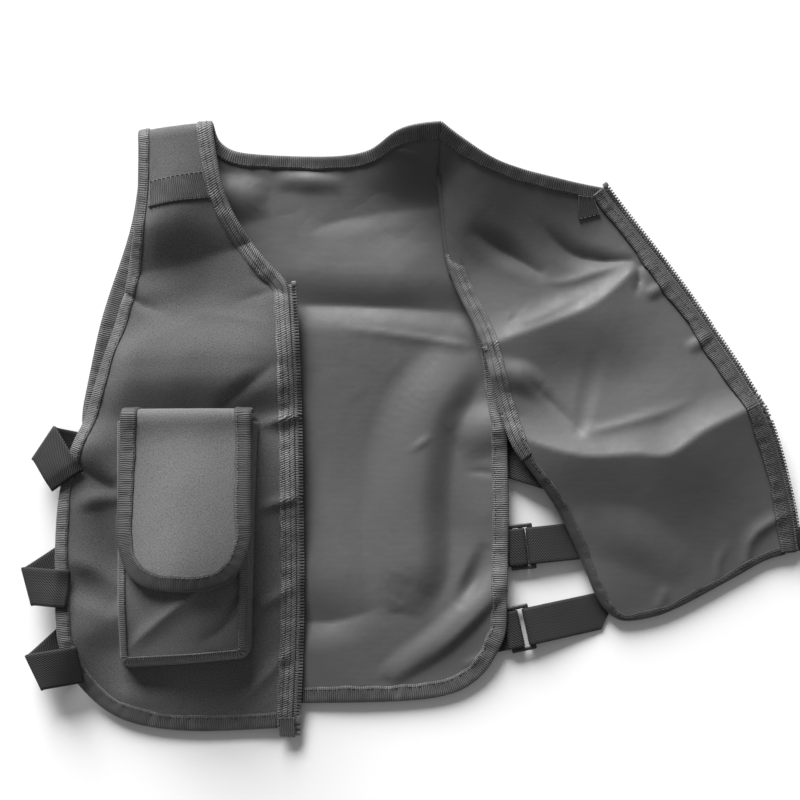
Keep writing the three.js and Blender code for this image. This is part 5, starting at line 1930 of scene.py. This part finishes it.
def tucked_under(height: HeightField, x: float, y: float, heading: float, start: float, end: float) -> float:
    """Height of webbing sewn under a ply's bound edge.

    Args:
        height: The ply's height.
        x: Plan place of the strap's start.
        y: Plan place of the strap's start.
        heading: Its direction, in radians.
        start: Where the tucked length begins.
        end: Where it ends.

    Returns:
        Height of the webbing's middle.
    """
    s, across = np.meshgrid([start, (start + end) / 2, end], np.array([-0.5, 0, 0.5]) * WEBBING_WIDTH)
    at_x = x + s * math.cos(heading) - across * math.sin(heading)
    at_y = y + s * math.sin(heading) + across * math.cos(heading)
    return float(height(at_x, at_y).min()) - ON_BINDING - TUCK_MARGIN


@dataclass
class OpenStrap:
    """A strap on the open side, from the back's edge to under the front's edge."""

    level: str
    x: float
    y: float
    degrees: float
    reach: float
    tail: float
    slot: float
    cut: float
    back: Ply
    front: Ply

    def axes(self) -> tuple[Array, Array]:
        """Directions along and across the strap."""
        heading = math.radians(self.degrees)
        along = np.array([math.cos(heading), math.sin(heading), 0])
        return along, np.array([-math.sin(heading), math.cos(heading), 0])

    def strip(self, profile: Sequence[Point]) -> Shape:
        """Webbing along a side profile.

        Args:
            profile: Distance along the strap and height.

        Returns:
            The webbing.
        """
        along, across = self.axes()
        line = resample(chaikin(np.array(profile, float), 3), 0.8)
        middle = np.array([self.x, self.y, 0]) + line[:, :1] * along + line[:, 1:] * np.array([0, 0, 1.0])
        offsets = np.concatenate([[-0.5, -0.48], np.linspace(-0.42, 0.42, 7), [0.48, 0.5]]) * WEBBING_WIDTH
        ease = np.clip((line[:, :1] - self.reach + CUT_EASE) / (STRAP_TUCK + CUT_EASE), 0, 1) * self.cut
        return strip_shape(np.stack([middle + off * (across + ease * along) for off in offsets]), WEBBING)

    def build(self) -> None:
        """Makes the strap, and its adjuster and loop where it has them."""
        heading = math.radians(self.degrees)
        near = tucked_under(self.back.height, self.x, self.y, heading, -STRAP_TUCK, 0)
        far = tucked_under(self.front.height, self.x, self.y, heading, self.reach, self.reach + STRAP_TUCK)
        start = [(self.reach + STRAP_TUCK, far), (self.reach - STRAP_FLAT, far)]
        past = GLIDE_END + STRAP_FLAT / 3
        if self.tail:
            turn = GLIDE_END - GLIDE.bar - LAYER
            run = [*start, (past, TOP_RUN), *turn_round(turn, 1), (past, LOW_RUN), (self.tail, LOW_RUN)]
            self.build_loop(near)
            self.build_adjuster()
        else:
            run = [*start, (STRAP_FLAT, near), (-STRAP_TUCK, near)]
        make_piece(f"open_strap_{self.level}", self.strip(run), [STRAP],
                   [f"side_strap_left_{self.level}"])

    def build_loop(self, near: float) -> None:
        """The loop that holds the adjuster at the back's edge.

        Args:
            near: Height of its sewn end.
        """
        under = near - WEBBING - 0.3
        before = GLIDE.start - GLIDE.gap
        turn = turn_round(GLIDE_END - GLIDE.bar - self.slot + LAYER, -1)
        profile = [
            (-STRAP_TUCK, near), (-1, near), (before, TOP_RUN), *turn,
            (before, LOW_RUN), (-1, under), (-STRAP_TUCK, under),
        ]
        make_piece(f"adjuster_loop_{self.level}", self.strip(profile), [STRAP],
                   [f"buckle_loop_{self.level}"])

    def build_adjuster(self) -> None:
        """The two-slot adjuster: a plate cut by two slots, thickened and rounded."""
        half = GLIDE.width / 2
        second = GLIDE.length - GLIDE.bar - self.slot
        first = second - GLIDE.mid_bar
        bench = Bench()
        bench.plate((GLIDE.length, GLIDE.width), (GLIDE.length / 2, 0, 0))
        for at in (GLIDE.bar, first, second, GLIDE.length - GLIDE.bar):
            bench.cut((at, 0, 0), (1, 0, 0))
        for at in (-half + GLIDE.rail, half - GLIDE.rail):
            bench.cut((0, at, 0), (0, 1, 0))

        def in_slot(middle: Vector, normal: Vector) -> bool:
            """Whether a face of the plate lies in one of its slots."""
            along = GLIDE.bar < middle.x < first or second < middle.x < GLIDE.length - GLIDE.bar
            return along and abs(middle.y) < half - GLIDE.rail

        bench.pick(in_slot)
        bpy.ops.mesh.delete(type="FACE")
        bench.pick(lambda middle, normal: True)
        bench.extrude((0, 0, GLIDE.thick))
        model = bench.finish(0.9, 3)
        along, across = self.axes()
        place = np.array([self.x, self.y, GLIDE.underside]) + along * GLIDE.start
        shape = Shape()
        place_copies(shape, model, place[None], along[None], across[None], np.array([[0, 0, 1.0]]))
        make_piece(f"strap_adjuster_{self.level}", shape, [PLASTIC],
                   [f"triglide_{self.level}"], GLIDE.hard_edge)


@dataclass
class FoldedStrap:
    """A strap on the closed side that folds over a slanted crease and runs back below."""

    level: str
    end: Point
    crease: Point
    back_end: Point
    crease_z: float
    front: Ply
    back: Ply

    def build(self) -> None:
        """Makes the strap from rails that run over the crease and back below it."""
        crease = np.array(self.crease, float)
        back = np.array(self.back_end, float)
        top, low = np.array(self.end) - crease, back - crease
        length = np.linalg.norm(top)
        top, low = unit(top), unit(low)
        inward = unit(top + low)
        heading = math.atan2(low[1], low[0])
        near = max(tucked_under(self.back.height, *back, heading, 0, STRAP_TUCK), LEAST_HEIGHT)
        rails = []
        for side in np.concatenate([[1, 0.96], np.linspace(0.8, -0.8, 7), [-0.96, -1]]):
            off = side * WEBBING_WIDTH / 2
            sewn = np.array([crease + top * (length - inset) + left_of(top) * off for inset in SEWN_AT])
            sewn_z = self.front.height(sewn[:, 0], sewn[:, 1]) + ON_BINDING + 1.5 * TUCK_MARGIN
            corner = crease + left_of(inward) * off / (top @ inward)
            turn = np.radians([0, 45, 90, 135, 180])[:, None]
            arc = corner - inward * CREASE_RADIUS * np.sin(turn)
            arc_z = self.crease_z + CREASE_RADIUS * (1 + np.cos(turn[:, 0]))
            lower = np.array([back + low * s + left_of(low) * off for s in (-STRAP_FLAT, STRAP_TUCK)])
            plan = np.vstack([sewn, arc, lower])
            rails.append(np.column_stack([plan, np.concatenate([sewn_z, arc_z, [near, near]])]))
        shape = strip_shape(chaikin(np.stack(rails), 3), WEBBING)
        make_piece(f"folded_strap_{self.level}", shape, [STRAP],
                   [f"side_strap_right_{self.level}"])


@dataclass
class Studio:
    """Pale table, soft light and a camera nearly overhead."""

    target: Triple = (-0.01126, 0.01643, 0.0)
    camera: Triple = (-0.01126, -0.0707, 0.9962)
    lens: float = 65.25
    sensor: float = 36.0
    table_size: float = 6.0
    table_z: float = -0.0006
    sun_from: Triple = (-0.32, 1.0, 0.43)
    sun_spread: float = 36.0
    sun_strength: float = 8.3
    sky_strength: float = 0.22

    def build(self) -> None:
        """Makes the table, the lights and the camera."""
        scene = bpy.context.scene
        bpy.ops.object.select_all(action="DESELECT")
        bpy.ops.mesh.primitive_plane_add(size=self.table_size, location=(0, 0, self.table_z))
        table = bpy.context.active_object
        bpy.ops.object.transform_apply(location=True)
        table.name = "table"
        table.data.materials.append(TABLE.material())
        self.add_sun()
        world = bpy.data.worlds.new("studio")
        world.use_nodes = True
        background = world.node_tree.nodes["Background"]
        background.inputs["Color"].default_value = (1, 1, 1, 1)
        background.inputs["Strength"].default_value = self.sky_strength
        scene.world = world
        scene.view_settings.view_transform = "Standard"
        data = bpy.data.cameras.new("overhead")
        data.lens = self.lens
        data.sensor_width = self.sensor
        camera = bpy.data.objects.new("overhead", data)
        scene.collection.objects.link(camera)
        camera.location = self.camera
        look = Vector(self.target) - Vector(self.camera)
        camera.rotation_euler = look.to_track_quat("-Z", "Y").to_euler()
        scene.camera = camera

    def add_sun(self) -> None:
        """Adds the window's even soft light."""
        data = bpy.data.lights.new("window_light", "SUN")
        data.angle = math.radians(self.sun_spread)
        data.energy = self.sun_strength
        lamp = bpy.data.objects.new(data.name, data)
        lamp.location = self.sun_from
        lamp.rotation_euler = (-Vector(self.sun_from)).to_track_quat("-Z", "Y").to_euler()
        bpy.context.scene.collection.objects.link(lamp)


@dataclass
class ShoulderRoll:
    """The open front's edge below the shoulder seam, rolled under onto the back."""

    front: Ply
    back: Ply
    length: float = 70.0
    step: float = 1.5
    start_in: float = 2.6
    start_run: float = 16.0
    clearance: float = 1.6
    thick: float = 1.0
    rails: tuple[Point, ...] = (
        (2.6, 0.0), (0.9, 0.2), (-0.3, 1.2), (-0.7, 2.6), (-0.2, 4.2), (1.6, 6.0), (4.0, 7.5),
    )

    def build(self) -> Piece:
        """Makes the rolled edge from rails that lie in from the edge and drop below it.

        Returns:
            The rolled edge.
        """
        run = self.front.run("body", self.step)
        count = int(self.length / self.step)
        above = run.plan[:1] + (run.plan[:1] - run.plan[1:2]) * np.array([[3.0], [2.0], [1.0]])
        plan = np.vstack([above, run.plan[:count]])
        inward = np.vstack([run.inward[:1].repeat(len(above), axis=0), run.inward[:count]])
        edge = EdgeRun(plan, inward, lengths(plan))
        lines = []
        for depth, drop in self.rails:
            depth = depth - self.start_in * np.clip(1 - edge.along / self.start_run, 0, 1)
            points = self.front.lay(edge.at_depth(depth))
            floor = self.back.lay(edge.at_depth(depth))[:, 2] + self.clearance
            points[:, 2] = np.maximum(points[:, 2] - drop, np.minimum(floor, points[:, 2]))
            lines.append(points)
        rounded = chaikin(np.stack(lines).transpose(1, 0, 2), 2).transpose(1, 0, 2)
        return make_piece("shoulder_fold", strip_shape(rounded[::-1], self.thick), [COATED])


# Uneven widths of the open front's hem tape and zip band: distance along, width
HEM_WIDTHS = (
    (0, 6.5), (60, 8), (125, 7), (150, 4.6), (172, 5.6), (186, 4.4), (206, 6.2), (222, 4.6), (250, 5.8),
)
BAND_WIDTHS = (
    (0, 10), (22, 11.6), (48, 9.8), (80, 11.8), (112, 10), (150, 12.4), (176, 9.6), (205, 12), (236, 9),
)


class Vest:
    """The whole vest."""

    def __init__(self) -> None:
        """Lays the three plies on the table."""
        self.right = Ply(RIGHT_RUNS, HeightField(RIGHT_HEIGHTS, RIGHT_FOLDS, OPEN_FLOOR), 1,
                         outline=("zip+neck", "seam", "body"))
        self.back = Ply(BACK_RUNS, HeightField(BACK_HEIGHTS, BACK_FOLDS, FLOOR), -1)
        self.left = Ply(LEFT_RUNS, HeightField(LEFT_HEIGHTS, LEFT_FOLDS, OPEN_FLOOR))

    def build_panels(self) -> None:
        """The three panels with their bound edges."""
        right, back, left = self.right, self.back, self.left
        Panel("back_cloth", "back_panel", back, Side.COATED_UP, Slot.COATED, [
            EdgeTape("back_edge_tape", "body_binding_back", back, "body", 11, (0.5, 44.0)),
            EdgeTape("back_neck_tape", "neck_binding_back", back, "neck", 12, widths=((0, 11), (50, 9.5))),
        ], "laid", ["table"]).build()
        Panel("right_front_cloth", "front_panel_right", right, Side.WOVEN_UP, Slot.WOVEN, [
            EdgeTape("right_edge_tape", "body_binding_right", right, "body", 21, (0.5, 10.5),
                     ((0, 8), (260, 8), (430, 11)), finish=PLAIN_TAPE),
            # The zip band and neck take the lighter copy of the tape: painted light.
            EdgeTape("right_front_tape", "zip_band_right+neck_binding_right", right, "zip+neck", 23,
                     slant=0.4, seams=(1.7, 6.5), finish=LIT_TAPE),
        ], "laid", ["back_cloth"]).build()
        Panel("left_front_cloth", "front_panel_left", left, Side.COATED_UP, Slot.COATED, [
            # The arm edge takes the lighter copy of the tape and the hem the darker one, on one binding:
            # painted light and painted shade.
            EdgeTape("left_arm_tape", "body_binding_left", left, "body", 31, (53.0, 258.0),
                     ((0, 11), (137, 11), (153, 8)), gap=0.5, slant=0.5, sink=5.0, finish=LIT_TAPE),
            EdgeTape("left_hem_tape", "body_binding_left", left, "body", 34, (186.0, 7.0), HEM_WIDTHS,
                     slant=0.5, finish=SHADED_TAPE),
            EdgeTape("left_neck_tape", "neck_binding_left", left, "neck", 32, widths=((0, 9),)),
            # The zip band takes the darker copy of the tape: painted shade.
            EdgeTape("left_zip_band", "zip_band_left", left, "zip", 33, widths=BAND_WIDTHS,
                     seams=(1.7, 6.5), gap=0.9, finish=SHADED_TAPE),
        ], "laid", ["table"], [ShoulderRoll(left, back).build()]).build()

    def build_zip(self) -> None:
        """Both zip halves."""
        for side, ply, foot in (("right", self.right, 9.0), ("left", self.left, 15.0)):
            half = ZipHalf(side, ply, foot)
            half.build_tape()
            half.build_teeth()
            if side == "right":
                half.build_pin()
            else:
                half.build_slider()

    def build_pouch(self) -> None:
        """The pouch and its flap."""
        ground = self.right.height
        Pouch(ground).build()
        flap = Flap(ground)
        ring = flap.ring(RING_STEP, {"sewn": 0.2})
        plan, faces = fill(ring, SHEET_STEP)
        # The flap's cloth takes the lighter copy of the woven finish: painted light.
        cloth = make_piece("flap_cloth", sheet_shape(flap, plan, faces, len(ring), 0, 1),
                           [LIT_FLAP_WOVEN, COATED], ["pouch_flap"])
        sewing = Shape()
        # The flap's edge takes the darker copy of the tape: painted shade.
        tape = EdgeTape("flap_edge_tape", "pouch_flap_binding", flap, "rim", 41, finish=SHADED_TAPE)
        bound = tape.build(sewing)
        stitches = make_piece("flap_stitches", sewing, [THREAD])

    def build_straps(self) -> None:
        """Straps, adjusters, the shoulder webbing and the zip's top tab."""
        for level, x, y, degrees, reach, tail, slot, cut in (
            ("upper", 63, -21, -18, 33, 0, 5, 0), ("middle", 66.5, -83, 6, 51, 38, 3.9, 0),
            ("lower", 65, -139, 12, 64, 55, 6.2, 0.75),
        ):
            OpenStrap(level, x, y, degrees, reach, tail, slot, cut, self.back, self.left).build()
        for level, end, crease, back_end, height in (
            ("upper", (-230, -38), (-247, -13), (-224, -17), 11.5),
            ("middle", (-228, -110), (-255, -108), (-221, -83), 14.0),
            ("lower", (-220, -160), (-250, -165), (-218.5, -134), 11.0),
        ):
            FoldedStrap(level, end, crease, back_end, height, self.right, self.back).build()
        sewing = Shape()
        right, left = self.right, self.left
        strip = ((-177.5, 166), (-142, 173), (-137.5, 155), (-177.5, 148))
        corner = ((115, 159), (126, 158), (131, 146), (116, 142))
        foot = ((-87.6, -195.5), (-77.4, -195.5), (-77.4, -209), (-87.6, -208.5))
        for patch in (
            Patch("shoulder_strip", "shoulder_webbing", right, strip, 0.75, 1.0, WEB_RIBS, Slot.WEBBING),
            # The corner tab takes the darker copy of the tape: painted shade.
            Patch("zip_corner_tab", "zip_top_tab", left, corner, 1.1, 0.9, SHADED_TAPE, Slot.TAPE),
            Patch("zip_foot_tab", "", right, foot, 2.2, 0.9, TAPE, Slot.TAPE),
        ):
            patch.build(sewing)
        make_piece("patch_stitches", sewing, [THREAD])


def main() -> None:
    """Builds the studio and the vest."""
    logging.basicConfig(level=logging.INFO, format="%(message)s")
    Studio().build()
    vest = Vest()
    vest.build_panels()
    vest.build_zip()
    vest.build_pouch()
    vest.build_straps()


if __name__ == "__main__":
    main()
